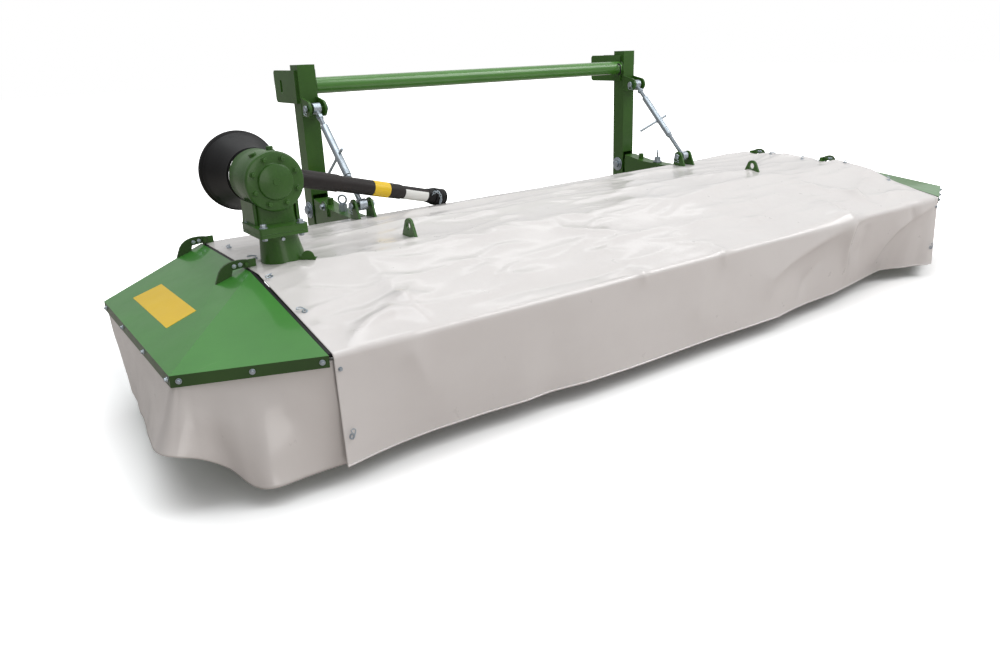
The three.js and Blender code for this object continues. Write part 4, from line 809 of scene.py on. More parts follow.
def cloth(name, grid, u, v, material, thickness=COVER_THICK):
    """A sheet from a grid of points, with its flat coordinates in metres, thickened inwards."""
    made_rows, made_columns = grid.shape[:2]
    faces = quads(made_rows, made_columns)
    mesh = bpy.data.meshes.new(name)
    mesh.from_pydata(grid.reshape(-1, 3).tolist(), [], faces.tolist())
    layer = mesh.uv_layers.new(name="flat")
    order = np.zeros(len(mesh.loops), int)
    mesh.loops.foreach_get("vertex_index", order)
    flat = np.stack([np.broadcast_to(u, grid.shape[:2]).ravel(),
                     np.broadcast_to(v, grid.shape[:2]).ravel()], axis=1)
    layer.data.foreach_set("uv", flat[order].ravel())
    mesh.materials.append(material)
    mesh.shade_smooth()
    made = bpy.data.objects.new(name, mesh)
    bpy.context.scene.collection.objects.link(made)
    body = made.modifiers.new("thickness", "SOLIDIFY")
    body.thickness = thickness
    body.offset = -1.0
    return made


cover = cloth("cover_cloth", points[:, ::-1], x[:, ::-1], q, white_cloth)
if cover.data.polygons[len(cover.data.polygons) // 3].normal.z < 0:
    cover.data.flip_normals()
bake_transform(cover)
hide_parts("top_cover", "front_cover", "front_curtain")

# %% [markdown]
# ## The end cloths
# Each hinged end carries its own short curtain. It hangs flat behind the guard's lip, and then swings out to
# clear the outer discs, with a rounded corner at the front. The right one hangs straighter than the left. It
# is a loft: the top line and the hem line are given by points, and between them the cloth follows a curve
# that stays straight at first and then flares.

# %% End cloths as lofts
END_TOP = [(1.596, -0.8695), (1.70, -0.827), (1.78, -0.789), (1.84, -0.761), (1.89, -0.737), (1.935, -0.716),
           (1.962, -0.703), (1.9765, -0.688), (1.978, -0.62), (1.978, -0.30), (1.978, 0.150)]
END_HEM = [(1.572, -0.868, 0.055), (1.70, -0.870, 0.057), (1.80, -0.872, 0.058), (1.845, -0.83, 0.062),
           (1.885, -0.77, 0.105), (1.95, -0.757, 0.15), (2.01, -0.752, 0.175), (2.045, -0.72, 0.185),
           (2.045, -0.62, 0.18), (2.005, -0.3, 0.145), (1.965, 0.10, 0.085)]
FAR_HEM = [(1.572, -0.868, 0.055), (1.70, -0.826, 0.060), (1.80, -0.778, 0.062), (1.845, -0.756, 0.070),
           (1.885, -0.736, 0.100), (1.94, -0.710, 0.140), (1.972, -0.690, 0.170), (1.985, -0.660, 0.180),
           (1.995, -0.58, 0.178), (1.99, -0.3, 0.145), (1.965, 0.10, 0.085)]
END_TOP_Z = 0.376


def end_cloth(side):
    """A loft from the top line to the hem line: straight for the lip's depth, then easing out to the hem."""
    count = 110
    at = np.linspace(0, len(END_TOP) - 1, count)
    upper = smooth_path(np.column_stack([np.array(END_TOP), np.full(len(END_TOP), END_TOP_Z)]), count)
    lower = smooth_path(np.array(END_HEM if side < 0 else FAR_HEM), count)
    fullness = 1.0 if side < 0 else 0.15
    depth = np.linspace(0, 1, 40)[:, None, None]
    out = np.clip((depth - 0.10) / 0.90, 0, 1)
    out = 0.55 * out + 0.45 * out**1.8
    grid = np.concatenate([
        upper[:, :2] + (lower - upper)[:, :2] * out,
        np.broadcast_to(upper[:, 2:] + (lower - upper)[:, 2:] * depth, (40, count, 1)),
    ], axis=2)
    edge = np.gradient(grid, axis=1)
    away = np.stack([edge[..., 1], -edge[..., 0]], axis=-1)
    away /= np.linalg.norm(away, axis=-1, keepdims=True)
    run = np.concatenate([[0], np.cumsum(np.linalg.norm(np.diff(upper, axis=0), axis=1))])
    wave = swells(run[None, :] + 0 * depth[..., 0], 0.35 * depth[..., 0] + 0 * run, 11, 8, 0.6, 0.10, 5 * MM)
    bulge = 16 * MM * np.sin(np.pi * np.clip(depth[..., 0] * 1.1 - 0.1, 0, 1)) * np.exp(
        -(((at - 3.2) / 2.2) ** 2)
    )
    grid[..., :2] += away * ((fullness * (wave * np.clip(depth[..., 0] * 3 - 0.4, 0, 1) + bulge))[..., None])
    grid[..., 0] *= side
    name = ("left" if side < 0 else "right") + "_end_cloth"
    made = cloth(name, grid, run[None, :], depth[..., 0] * 0.32, grey_cloth, 2.5 * MM)
    middle = made.data.polygons[len(made.data.polygons) // 2 + count // 2]
    if middle.normal.x * side < 0:
        made.data.flip_normals()
    guard = "left" if side < 0 else "right"
    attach(made, guard + "_guard")
    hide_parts(guard + "_end_curtain")
    return made, float(run[-1])


end_cloths = {}
for side, guard in ((-1, "left"), (1, "right")):
    end_cloths[guard], end_run = end_cloth(side)
print("end cloths:", round(end_run, 3), "m along the lip")

# %% [markdown]
# ## Frame, posts and guards
# Welded steel keeps its sharp design but never sharp edges: saw cuts are broken, corners of folded sheet
# have a radius, and paint rounds them further. So these pieces reuse the frame's own surfaces, merged and
# bevelled.

# %% Eased copies of the construction
PAINTED = {
    "frame_green": ["main_beam", "left_carrier", "middle_carrier", "right_carrier", "deck", "left_lower_arm",
                    "right_lower_arm", "left_turnbuckle_bracket", "right_turnbuckle_bracket",
                    "left_lifting_lug",
                    "right_lifting_lug", "left_post", "right_post", "left_cover_arm", "middle_cover_arm",
                    "right_cover_arm", "left_front_hinge_ear", "right_front_hinge_ear",
                    "left_rear_hinge_ear",
                    "right_rear_hinge_ear"],
    "sheet_green": ["left_end_guard", "right_end_guard"],
    "bar_green": ["cutter_bar"],
    "steel": ["skid_shoes"],
}


def darken_lips(made):
    """The guard's turned-down lips take a darker copy of the sheet enamel as painted shade, and its hinge
    hooks take the same darker copy.
    """
    made.data.materials.append(lip_shade_paint)
    for face in made.data.polygons:
        above_sheet = face.center.z - (0.509 - 0.345 * (abs(face.center.x) - 1.612))
        from_hook = min(abs(face.center.y - hook_y) for hook_y in HOOKS_Y)
        on_hook = from_hook < 0.0075 and above_sheet > 3 * MM
        if on_hook or (abs(face.normal.z) < 0.3 and face.center.z < 0.50):
            face.material_index = 1


PAINTS = {"frame_green": frame_paint, "sheet_green": sheet_paint, "bar_green": bar_paint, "steel": steel}
SLIM = {"deck": 1.2 * MM, "left_end_guard": 1.2 * MM, "right_end_guard": 1.2 * MM, "skid_shoes": 1.5 * MM}
for slot_name, node_names in PAINTED.items():
    for node in node_names:
        made = eased(node, PAINTS[slot_name], SLIM.get(node, 2 * MM))
        if slot_name == "sheet_green":
            darken_lips(made)
        if node.endswith("lower_arm"):
            made.data.materials.append(zinc)
            for face in made.data.polygons:
                if abs(face.center.y - 0.392) < 0.03 and face.center.z > 0.530:
                    face.material_index = 1
print("eased copies:", sum(len(names) for names in PAINTED.values()))

# %% [markdown]
# ## Round frame pieces
# The cross tube and the cover's front tube are cut from round stock. Turned afresh with many sides, they
# show a true round outline. A fillet weld runs round each end of the cross tube: a ring whose section
# swells and shrinks with each drop of weld metal.

# %% Tubes and welds
def weld(path, radius, seed):
    """A bead along a path: a tube whose radius ripples with each drop, closed where its path closes."""
    rng = np.random.default_rng(seed)
    count = len(path)
    ripple = 1 + 0.10 * np.sin(np.arange(count) * 2.1) + rng.uniform(-0.05, 0.05, count)
    return tube(path, radius * ripple, 8, up=(0.31, 0.17, 0.93))


def ring_path(centre, axis, radius, count, start=0.0, sweep=2 * math.pi):
    """Points on a circle about an axis."""
    across, beside = square_to(axis)
    t = start + np.linspace(0, sweep, count)
    return np.asarray(centre, float) + radius * (
        np.cos(t)[:, None] * across + np.sin(t)[:, None] * beside
    )


cross_low, cross_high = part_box("cross_tube")
cross_y, cross_z = (cross_low.y + cross_high.y) / 2, (cross_low.z + cross_high.z) / 2
cross_r = (cross_high.y - cross_low.y) / 2
half_cross = cross_high.x
cross = piece(
    "cross_tube_round",
    turned([(-half_cross, cross_r - 6 * MM), (-half_cross, cross_r), (half_cross, cross_r),
            (half_cross, cross_r - 6 * MM)], (0, cross_y, cross_z), (1, 0, 0), 72),
    tube_highlight_paint, "headstock",
)
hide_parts("cross_tube")
front_tube = piece(
    "cover_front_tube_round",
    turned([(-tube_high.x, 0), (-tube_high.x, 0.013), (-tube_high.x + 2 * MM, 0.015),
            (tube_high.x - 2 * MM, 0.015),
            (tube_high.x, 0.013), (tube_high.x, 0)], (0, TUBE_Y, TUBE_Z), (1, 0, 0), 40),
    frame_paint, "front_flap",
)
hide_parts("cover_front_tube")

POST_MID = 0.9645
POST_HALF = 0.040
welds = []
for side in (-1, 1):
    face = side * (POST_MID - POST_HALF)
    welds.append(weld(ring_path((face - side * 2 * MM, cross_y, cross_z), (1, 0, 0), cross_r + 2 * MM, 90),
                      4 * MM, 5))
    for edge in (-1, 1):
        x_line = side * POST_MID + edge * POST_HALF
        welds.append(weld(np.linspace((x_line - edge * MM, 0.6315, 0.905),
                                      (x_line - edge * MM, 0.6315, 0.972), 26),
                          3 * MM, 9))
        welds.append(weld(np.linspace((x_line, 0.713, 0.962), (x_line, 0.713, 1.092), 50), 3.2 * MM, 12))
piece("headstock_welds", joined(welds), frame_paint, "headstock")
arm_welds = []
for side in (-1, 1):
    for edge in (-1, 1):
        x_line = side * POST_MID + edge * 0.0375
        arm_welds.append(weld(np.linspace((x_line, 0.25, 0.4795), (x_line, 0.338, 0.4795), 34), 3.5 * MM, 3))
piece("beam_welds", joined(arm_welds), frame_paint, "frame")
print("round tubes and welds done")

# %% [markdown]
# ## Gearbox
# The housing is a casting: a drum for the bevel gears, a flared saddle to the square flange, a cap held by
# a ring of bolts at the front, and a collar behind that carries the cone. Profiles carry the fillets that a
# mould leaves in every inner corner.

# %% Gearbox casting
def lofted(sections):
    """A solid through closed sections of equal point count, its two ends closed by flat faces."""
    grid = np.asarray(sections, float)
    rows_count, n = grid.shape[:2]
    faces = [quads(rows_count, n, wrap_columns=True), np.arange(n)[None, ::-1],
             np.arange((rows_count - 1) * n, rows_count * n)[None, :]]
    return outward((grid.reshape(-1, 3), faces))


def rounded_rectangle(half_x, half_y, radius, steps=5):
    """Corner by corner round a rectangle with rounded corners."""
    line = []
    for sx, sy, start in ((1, 1, 0), (-1, 1, 90), (-1, -1, 180), (1, -1, 270)):
        line += arc((sx * (half_x - radius), sy * (half_y - radius)), radius, start, start + 90, steps)
    return line


FLANGE = rounded_rectangle(0.081, 0.0885, 0.008)
GEAR_X, GEAR_Y, GEAR_Z = -1.4805, -0.225, 0.778
along_y = (0, 1, 0)
housing = joined([
    turned([(-0.245, 0), (-0.245, 0.084), (-0.243, 0.0905), (-0.238, 0.092), (-0.090, 0.092),
            (-0.082, 0.090),
            (-0.076, 0.0865), (-0.060, 0.0775), (-0.045, 0.0655), (-0.039, 0.060), (-0.034, 0.052),
            (-0.029, 0.0465), (-0.024, 0.045), (0.028, 0.045), (0.030, 0.043), (0.030, 0)],
           (GEAR_X, 0, GEAR_Z), along_y, 64),
    plate(FLANGE, 0.020, (GEAR_X - 0.006, GEAR_Y, 0.6203), (1, 0, 0), (0, 1, 0)),
])


saddle_sections = []
for z, half_x, front, rear, radius in (
    (0.636, 0.077, -0.2445, -0.125, 0.022), (0.646, 0.070, -0.2435, -0.130, 0.020),
    (0.665, 0.0665, -0.2435, -0.134, 0.018), (0.700, 0.0665, -0.2435, -0.134, 0.018),
    (0.735, 0.072, -0.2435, -0.130, 0.016),
):
    middle, half_y = (front + rear) / 2, (rear - front) / 2
    saddle_sections.append([
        (GEAR_X + a, middle + b, z) for a, b in rounded_rectangle(half_x, half_y, radius)
    ])
ribs = [
    plate([(-0.241, 0.630), (-0.118, 0.630), (-0.128, 0.665), (-0.128, 0.712), (-0.241, 0.712)], 0.010,
          (GEAR_X + at - 0.005, 0, 0), (0, 1, 0), (0, 0, 1))
    for at in (-0.072, 0.072)
]
housing_casting = piece("gearbox_casting", joined([housing, lofted(saddle_sections)] + ribs), cast_paint,
                        "frame",
                        bevel=2.2 * MM, smooth=32)
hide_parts("gearbox_housing")

cap = joined([
    turned([(-0.2455, 0), (-0.2455, 0.095), (-0.2475, 0.097), (-0.2625, 0.097), (-0.2655, 0.0955),
            (-0.2683, 0.090),
            (-0.2683, 0.062), (-0.2683, 0.060), (-0.2700, 0.058), (-0.2748, 0.0565), (-0.2763, 0.054),
            (-0.2763, 0)],
           (GEAR_X, 0, GEAR_Z), along_y, 72),
    turned([(-0.2760, 0), (-0.2760, 0.012), (-0.2778, 0.011), (-0.2778, 0)], (GEAR_X, 0, GEAR_Z), along_y,
           24),
])
cap_piece = piece("gearbox_cap", cap, cast_paint, "frame", smooth=32)
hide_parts("gearbox_front_cover")
cap_bolts = []
for k in range(8):
    t = math.radians(22.5 + 45 * k)
    cap_bolts.append(bolt((GEAR_X + 0.0765 * math.cos(t), -0.2683, GEAR_Z + 0.0765 * math.sin(t)),
                          (0, -1, 0), 13 * MM))
piece("gearbox_cap_bolts", joined(cap_bolts), cast_paint, "frame", bevel=0.6 * MM)

foot_rings = []
for z, radius, shift in ((0.400, 0.0495, 0), (0.5053, 0.0500, 0), (0.5055, 0.0745, 0.010),
                         (0.5070, 0.0760, 0.010),
                         (0.5130, 0.0750, 0.010), (0.5300, 0.0722, 0.008), (0.5600, 0.0670, 0.005),
                         (0.5900, 0.0625, 0.002), (0.6040, 0.0612, 0.001), (0.6085, 0.0625, 0.001)):
    t = np.linspace(0, 2 * np.pi, 64, endpoint=False)
    foot_rings.append(np.column_stack([GEAR_X + shift + radius * np.cos(t), GEAR_Y + radius * np.sin(t),
                                       np.full(64, z)]))
foot = lofted(foot_rings)
lower_flange = plate(FLANGE, 0.0115, (GEAR_X - 0.006, GEAR_Y, 0.6085), (1, 0, 0), (0, 1, 0))
pedestal_piece = piece("gearbox_foot", joined([foot, lower_flange]), cast_paint, "frame",
                       bevel=1.5 * MM, smooth=32)
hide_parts("gearbox_pedestal")
zinc_bolts = []
for sx in (-1, 1):
    for sy in (-1, 1):
        at = (GEAR_X - 0.006 + sx * 0.062, GEAR_Y + sy * 0.070)
        zinc_bolts.append(bolt((*at, 0.6403), (0, 0, 1), 17 * MM))
        zinc_bolts.append(bolt((*at, 0.6085), (0, 0, -1), 17 * MM, washer=False))
for t in (-150, -95, -20, 60):
    a = math.radians(t)
    zinc_bolts.append(bolt((GEAR_X + 0.0588 * math.cos(a), GEAR_Y + 0.0588 * math.sin(a), 0.594),
                           (math.cos(a), math.sin(a), 0), 12 * MM, washer=False))
piece("gearbox_bolts", joined(zinc_bolts), zinc, "frame", bevel=0.6 * MM)
plugs = joined([
    bolt((GEAR_X + 0.030, -0.165, 0.866), (0, 0, 1), 20 * MM),
    bolt((GEAR_X - 0.040, -0.205, 0.859), (-0.45, 0, 0.9), 15 * MM),
    turned([(0, 0), (0, 0.013), (0.010, 0.013), (0.012, 0.011), (0.012, 0)], (GEAR_X - 0.040, -0.205, 0.858),
           (-0.45, 0, 0.9), 24),
])
piece("gearbox_plugs", plugs, cast_paint, "frame", bevel=0.8 * MM)
print("gearbox: casting, cap, foot and", 8 + 12 + 2, "bolts")

# %% [markdown]
# ## Cone and drive shaft
# A black moulded cone shields the universal joint. Moulded rings stiffen its rim, and three small catches
# stand on it near the rim. The shaft's guard is a tube in a wider tube, with a blank yellow band and a
# blank white label, a ribbed bell at its free end, and a short chain that keeps the guard from turning.

# %% Cone
cone_profile = [
    (-0.066, 0.0855), (-0.0675, 0.0870), (-0.0670, 0.0895), (-0.055, 0.0915), (-0.035, 0.0955),
    (-0.012, 0.1020),
    (0.010, 0.1095), (0.030, 0.1170), (0.048, 0.1240), (0.060, 0.1290), (0.0635, 0.1318), (0.067, 0.1328),
    (0.0705, 0.1312), (0.0740, 0.1318), (0.0770, 0.1360), (0.0790, 0.1392), (0.0810, 0.1400),
    (0.0860, 0.1402),
    (0.0875, 0.1388), (0.0890, 0.1402), (0.0940, 0.1400), (0.0950, 0.1390), (0.0950, 0.1358),
    (0.0940, 0.1350),
    (0.0820, 0.1345), (0.0720, 0.1280), (0.0480, 0.1195), (0.0100, 0.1055), (-0.035, 0.0920),
    (-0.058, 0.0870),
]
cone = piece("joint_cone", turned(cone_profile, (GEAR_X, 0, GEAR_Z), along_y, 96), black_plastic, "frame",
             smooth=28)
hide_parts("drive_cone")
clamp_ring = turned_ring(0.0900, 0.0928, 0.008, (GEAR_X, -0.0605, GEAR_Z), along_y, 72)
piece("cone_clamp", clamp_ring, black_plastic, "frame")
catches = []
for t in (100, 220, 340):
    a = math.radians(t)
    radial = np.array([math.cos(a), 0, math.sin(a)])
    centre = np.array([GEAR_X, 0.040, GEAR_Z]) + radial * 0.1205
    slope_axis = unit(np.array([0, 1, 0]) * 0.85 + radial * 0.53)
    side_axis = np.cross(slope_axis, radial)
    catches.append(plate(rounded_rectangle(0.017, 0.007, 0.004), 4.5 * MM, centre - 0.5 * MM * radial,
                         slope_axis,
                         side_axis))
piece("cone_catches", joined(catches), black_plastic, "frame", bevel=MM)
eased("input_yoke", steel, 1.5 * MM)

# %% Drive shaft
JOINT = np.array([GEAR_X, 0.120, GEAR_Z])
azimuth = math.radians(9.1)
rise = GEAR_Z - 0.5083
reach = 0.241 - 0.120
edge_angle = math.atan2(rise, reach) - math.asin(0.0383 / math.hypot(rise, reach))
drop_angle = math.atan(math.tan(edge_angle) * math.sin(azimuth))
SHAFT = np.array([math.cos(azimuth) * math.cos(drop_angle), math.sin(azimuth) * math.cos(drop_angle),
                  -math.sin(drop_angle)])
sleeve = turned(
    [(0.0963, 0), (0.0963, 0.0335), (0.0975, 0.035), (0.116, 0.035), (0.117, 0.0338), (0.120, 0.0338),
     (0.121, 0.035),
     (0.424, 0.035), (0.427, 0.0342), (0.4275, 0.0330), (0.431, 0.0326), (0.450, 0.0326), (0.452, 0.0322),
     (0.690, 0.0318), (0.742, 0.0314), (0.745, 0.0304), (0.748, 0.0288), (0.752, 0.0285), (0.890, 0.0285),
     (0.890, 0)],
    JOINT, SHAFT, 56,
)
sleeve_piece = piece("shaft_sleeve", sleeve, shaft_plastic, "drive_shaft", smooth=30)
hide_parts("shaft_guard")
bell = [(0.8903, 0), (0.8903, 0.0295), (0.892, 0.0305), (0.908, 0.0322), (0.912, 0.0325)]
for k in range(5):
    start = 0.914 + k * 0.0125
    high = 0.0345 + min(k, 1) * 0.0032
    bell += [(start, high - 0.0008), (start + 0.001, high), (start + 0.0085, high),
             (start + 0.0095, high - 0.0008),
             (start + 0.0115, high - 0.0024)]
bell += [(0.9775, 0.0372), (0.979, 0.0380), (0.9835, 0.0380), (0.985, 0.0368), (0.985, 0.0300),
         (0.972, 0.0280),
         (0.972, 0)]
bell_piece = piece("shaft_bell", turned(bell, JOINT, SHAFT, 56), black_plastic, "drive_shaft",
                   smooth=30)
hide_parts("shaft_end")
eased("shaft_yoke", steel, 1.5 * MM)
stub = turned([(0.970, 0), (0.970, 0.0170), (0.9765, 0.0170), (0.978, 0.0160), (0.978, 0)], JOINT, SHAFT, 30)
piece("shaft_stub", stub, steel, "drive_shaft")


def band(start, end, radius, turn_from, turn_to, count=40):
    """A thin film wrapped on the shaft between two distances and two angles, with eased ends."""
    across, beside = square_to(SHAFT)
    d = np.linspace(start, end, 6)[:, None, None]
    t = np.radians(np.linspace(turn_from, turn_to, count))[None, :, None]
    ring = np.cos(t) * across + np.sin(t) * beside
    upper = JOINT + d * SHAFT + (radius + 0.45 * MM) * ring
    lower = JOINT + d * SHAFT + (radius - 0.3 * MM) * ring
    n = 6 * count
    top_faces = quads(6, count)
    edge = np.concatenate([np.arange(count), np.arange(1, 6) * count + count - 1,
                           (n - 2) - np.arange(count - 1), np.arange(4, 0, -1) * count])
    after = np.roll(edge, -1)
    rim = np.stack([edge, after, after + n, edge + n], axis=1)
    shape = (np.vstack([upper.reshape(-1, 3), lower.reshape(-1, 3)]),
             [top_faces[:, ::-1], top_faces + n, rim])
    return outward(shape)


piece("shaft_yellow_band", band(0.594, 0.675, 0.0320, 0, 352, 72), patch_yellow, "drive_shaft")
piece("shaft_white_label", band(0.757, 0.884, 0.0285, 150, 330, 48), patch_white, "drive_shaft")


def link(centre, direction, normal, length=15 * MM, width=9 * MM, wire=1.4 * MM):
    """One oval chain link: a closed tube along a stadium-shaped path."""
    direction = unit(direction)
    side = unit(np.cross(normal, direction))
    straight = (length - width) / 2
    line = arc((straight, 0), width / 2, -90, 90, 9) + arc((-straight, 0), width / 2, 90, 270, 9)
    path = np.asarray(centre, float) + np.array([a * direction + b * side for a, b in line])
    return tube(path, wire, 8, up=np.cross(direction, side), closed=True)


def chain(points_given, count):
    """Links along a curve, each turned a quarter from the one before."""
    path = smooth_path(points_given, count * 8 + 1)
    made = []
    for k in range(count):
        centre = path[k * 8 + 4]
        direction = path[k * 8 + 8] - path[k * 8]
        first, second = square_to(direction)
        made.append(link(centre, direction, first if k % 2 else second))
    return joined(made)


bell_side = JOINT + 0.900 * SHAFT
out = unit(np.cross(SHAFT, (0, 0, 1)))
chain_start = bell_side + out * 0.0335 + np.array([0, 0, 0.006])
piece(
    "shaft_chain",
    chain([chain_start, chain_start + np.array([0.012, -0.010, 0.014]),
           chain_start + np.array([0.030, -0.013, 0.004]),
           chain_start + np.array([0.036, -0.012, -0.020]),
           chain_start + np.array([0.030, -0.010, -0.040])], 9),
    zinc, "drive_shaft",
)
print("cone and shaft done")

# %% [markdown]
# ## Turnbuckles
# Each turnbuckle is a threaded rod in a long sleeve. An eye at each end turns on a pin, a locknut sits
# against the sleeve, and a bar through the sleeve turns it. Threads are one helix, cut as a sawtooth on the
# rod's radius.

# %% Turnbuckles
LOWER_PIN = np.array([0.0, 0.205, 0.569])
UPPER_PIN = np.array([0.0, 0.573, 0.938])
LINK_LENGTH = float(np.linalg.norm(UPPER_PIN - LOWER_PIN))
LINK = (UPPER_PIN - LOWER_PIN) / LINK_LENGTH


def threaded(start, end, radius, origin, axis, pitch=2.6 * MM, depth=1.1 * MM, sides=20):
    """A rod with a helical thread: the radius falls by a triangle wave of distance / pitch + angle / 2
    pi."""
    rows_count = int((end - start) / pitch * 6)
    d = np.linspace(start, end, rows_count)[:, None]
    t = np.linspace(0, 2 * np.pi, sides, endpoint=False)[None, :]
    wave = np.abs(((d / pitch + t / (2 * np.pi)) % 1.0) - 0.5) * 2
    r = radius - depth * wave
    across, beside = square_to(axis)
    axis = unit(axis)
    origin = np.asarray(origin, float)
    points = (origin + d[..., None] * axis
              + r[..., None] * (np.cos(t)[..., None] * across + np.sin(t)[..., None] * beside)).reshape(-1,
                                                                                                        3)
    k = np.arange(sides)
    last = (rows_count - 1) * sides
    points = np.vstack([points, origin + start * axis, origin + end * axis])
    faces = [quads(rows_count, sides, wrap_columns=True),
             np.stack([(k + 1) % sides, k, np.full(sides, len(points) - 2)], axis=1),
             np.stack([last + k, last + (k + 1) % sides, np.full(sides, len(points) - 1)], axis=1)]
    return outward((points, faces))


def hexagon(start, end, across, origin, axis):
    """A plain nut with its corners turned down at both ends."""
    r = across / math.sqrt(3)
    cut = r * 0.12
    return turned([(start, 0), (start, r - cut), (start + cut * 0.6, r), (end - cut * 0.6, r),
                   (end, r - cut), (end, 0)],
                  origin, axis, 6)


def eye(centre, bore, outer=0.024, width=0.036):
    """An eye: a ring across the machine with eased edges."""
    return turned_ring(bore, outer, width, centre, (1, 0, 0), 40, 1.5 * MM)


for side, guard in ((-1, "left"), (1, "right")):
    base = LOWER_PIN + np.array([side * POST_MID, 0, 0])
    foot_end = LINK_LENGTH - 0.370
    barrel_end = LINK_LENGTH - 0.100
    sleeve_shape = turned(
        [(foot_end, 0.0108), (foot_end, 0.0150), (foot_end + 0.0015, 0.0165), (barrel_end - 0.0015, 0.0165),
         (barrel_end, 0.0150), (barrel_end, 0.0113), (foot_end + 0.04, 0.0113)], base, LINK, 40,
    )
    handle_at = base + LINK * (LINK_LENGTH - 0.263)
    turn = math.radians(45 if side > 0 else -8)
    handle_axis = np.array([math.sin(turn) * side, 0, 0]) + math.cos(turn) * np.cross((1, 0, 0), LINK)
    handle_axis = unit(handle_axis)
    handle = joined([
        turned([(-0.120, 0), (-0.120, 0.0045), (-0.1185, 0.006), (0.0435, 0.006), (0.045, 0.0045),
                (0.045, 0)],
               handle_at, handle_axis, 20),
        turned_ring(0.0066, 0.0095, 0.004, handle_at - handle_axis * 0.0178, handle_axis, 20),
    ])
    screw = threaded(0.019, foot_end + 0.02, 0.0105, base, LINK)
    lower = joined([eye(base, 0.0106), screw, sleeve_shape, handle,
                    hexagon(foot_end - 0.012, foot_end - 0.0005, 0.026,
                                                                          base, LINK)])
    made = piece(guard + "_turnbuckle_sleeve", lower, zinc, guard + "_turnbuckle", smooth=32)
    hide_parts(guard + "_turnbuckle_barrel")
    upper_eye_at = base + LINK * LINK_LENGTH
    upper = joined([
        eye(upper_eye_at, 0.0140),
        threaded(LINK_LENGTH - 0.190, LINK_LENGTH - 0.020, 0.0105, base, LINK),
        hexagon(LINK_LENGTH - 0.058, LINK_LENGTH - 0.042, 0.0277, base, LINK),
    ])
    made = piece(guard + "_turnbuckle_screw", upper, zinc, guard + "_tie_rod", smooth=32)
    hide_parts(guard + "_turnbuckle_rod")
print("turnbuckles done")

# %% [markdown]
# ## Pins and pivots
# The headstock turns on two thick bolts with washers. The turnbuckle pins have round heads and wire clips,
# and each clip is a length of spring wire bent into a bow.

# %% Pins, clips and pivot bolts
PIVOT = np.array([0.0, 0.672, 0.487])
for side, guard in ((-1, "left"), (1, "right")):
    centre = PIVOT + np.array([side * POST_MID, 0, 0])
    shapes = [turned([(-0.0600, 0), (-0.0600, 0.0135), (0.0600, 0.0135), (0.0600, 0)], centre, (1, 0, 0),
                     32)]
    for way in (-1, 1):
        face = centre + np.array([way * 0.0403, 0, 0])
        shapes.append(turned([(0, 0), (0, 0.0380), (0.0035, 0.0380), (0.0045, 0.0370), (0.0045, 0)], face,
                             (way, 0, 0), 48))
        shapes.append(turned([(0.004, 0), (0.004, 0.0290), (0.0085, 0.0290), (0.0095, 0.0280), (0.0095, 0)],
                             face,
                             (way, 0, 0), 40))
        shapes.append(hexagon(0.009, 0.0190, 0.036, face, (way, 0, 0)))
    made = piece(guard + "_pivot_bolt_finished", joined(shapes), zinc, "headstock", bevel=0.6 * MM)
    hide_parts(guard + "_pivot_bolt")


def clip(centre, axis, size=26 * MM, wire=1.8 * MM):
    """A wire clip: an open bow of spring wire about an axis, with two straight ends."""
    across, beside = square_to(axis)
    line = [(0.9, -0.25), (0.5, -0.15)] + arc((0, 0), 0.5, -20, 300, 18) + [(0.55, -0.5), (0.95, -0.55)]
    path = np.array([np.asarray(centre, float) + size * (a * across + b * beside) for a, b in line])
    return tube(smooth_path(path, 60), wire, 8, up=axis)


pins_head, pins_frame = [], []
for side in (-1, 1):
    for way in (-1, 1):
        upper = UPPER_PIN + np.array([side * POST_MID + way * 0.0485, 0, 0])
        pins_head.append(turned([(-0.006, 0), (-0.006, 0.0135), (-0.0045, 0.015), (0.002, 0.015),
                                 (0.0035, 0.0135),
                                 (0.0035, 0)], upper, (way, 0, 0), 32))
        lower = LOWER_PIN + np.array([side * POST_MID + way * 0.050, 0, 0])
        pins_frame.append(turned([(-0.005, 0), (-0.005, 0.0135), (-0.0035, 0.015), (0.002, 0.015),
                                  (0.0035, 0.0135),
                                  (0.0035, 0)], lower, (way, 0, 0), 32))
    pins_head.append(clip(UPPER_PIN + np.array([side * POST_MID - 0.0535, -0.004, -0.012]), (-1, 0.1, 0)))
    pins_frame.append(clip(LOWER_PIN + np.array([side * POST_MID - 0.0555, 0.0, -0.014]), (-1, 0, 0.1)))
piece("headstock_pins", joined(pins_head), zinc, "headstock")
piece("bracket_pins", joined(pins_frame), zinc, "frame")
hook_path = smooth_path([(0.905, 0.700, 1.050), (0.893, 0.655, 1.052), (0.889, 0.628, 1.045),
                         (0.885, 0.617, 1.022),
                         (0.884, 0.622, 1.000), (0.887, 0.640, 0.992)], 40)
piece("cable_hook", joined([
    tube(hook_path, 4 * MM, 12),
    plate(rounded_rectangle(0.016, 0.018, 0.004), 0.006, (0.9255, 0.700, 1.052), (0, 1, 0), (0, 0, 1)),
    tube(np.linspace((0.900, 0.700, 1.050), (0.924, 0.700, 1.052), 8), 4 * MM, 12, up=(0, 1, 0)),
]), black_plastic, "headstock")
piece("eye_bolt_collar", turned([(0.519, 0), (0.519, 0.024), (0.521, 0.025), (0.525, 0.024), (0.525, 0)],
                                (POST_MID, 0.392, 0), (0, 0, 1), 32), zinc, "frame")
lug_round = arc((0, 0), 0.026, -12, 192, 14)
lug_outline = [(-0.030, -0.040), (0.030, -0.040), (0.028, -0.010), *lug_round, (-0.028, -0.010)]
outer = -POST_MID - 0.0376
arm_lug = plate(lug_outline, 0.008, (outer - 0.008, 0.494, 0.524), (0, 1, 0), (0, 0, 1))
piece("arm_lug", arm_lug, frame_paint, "frame", bevel=1.5 * MM)
arm_bolt = bolt((outer - 0.0082, 0.494, 0.526), (-1, 0, 0), 20 * MM)
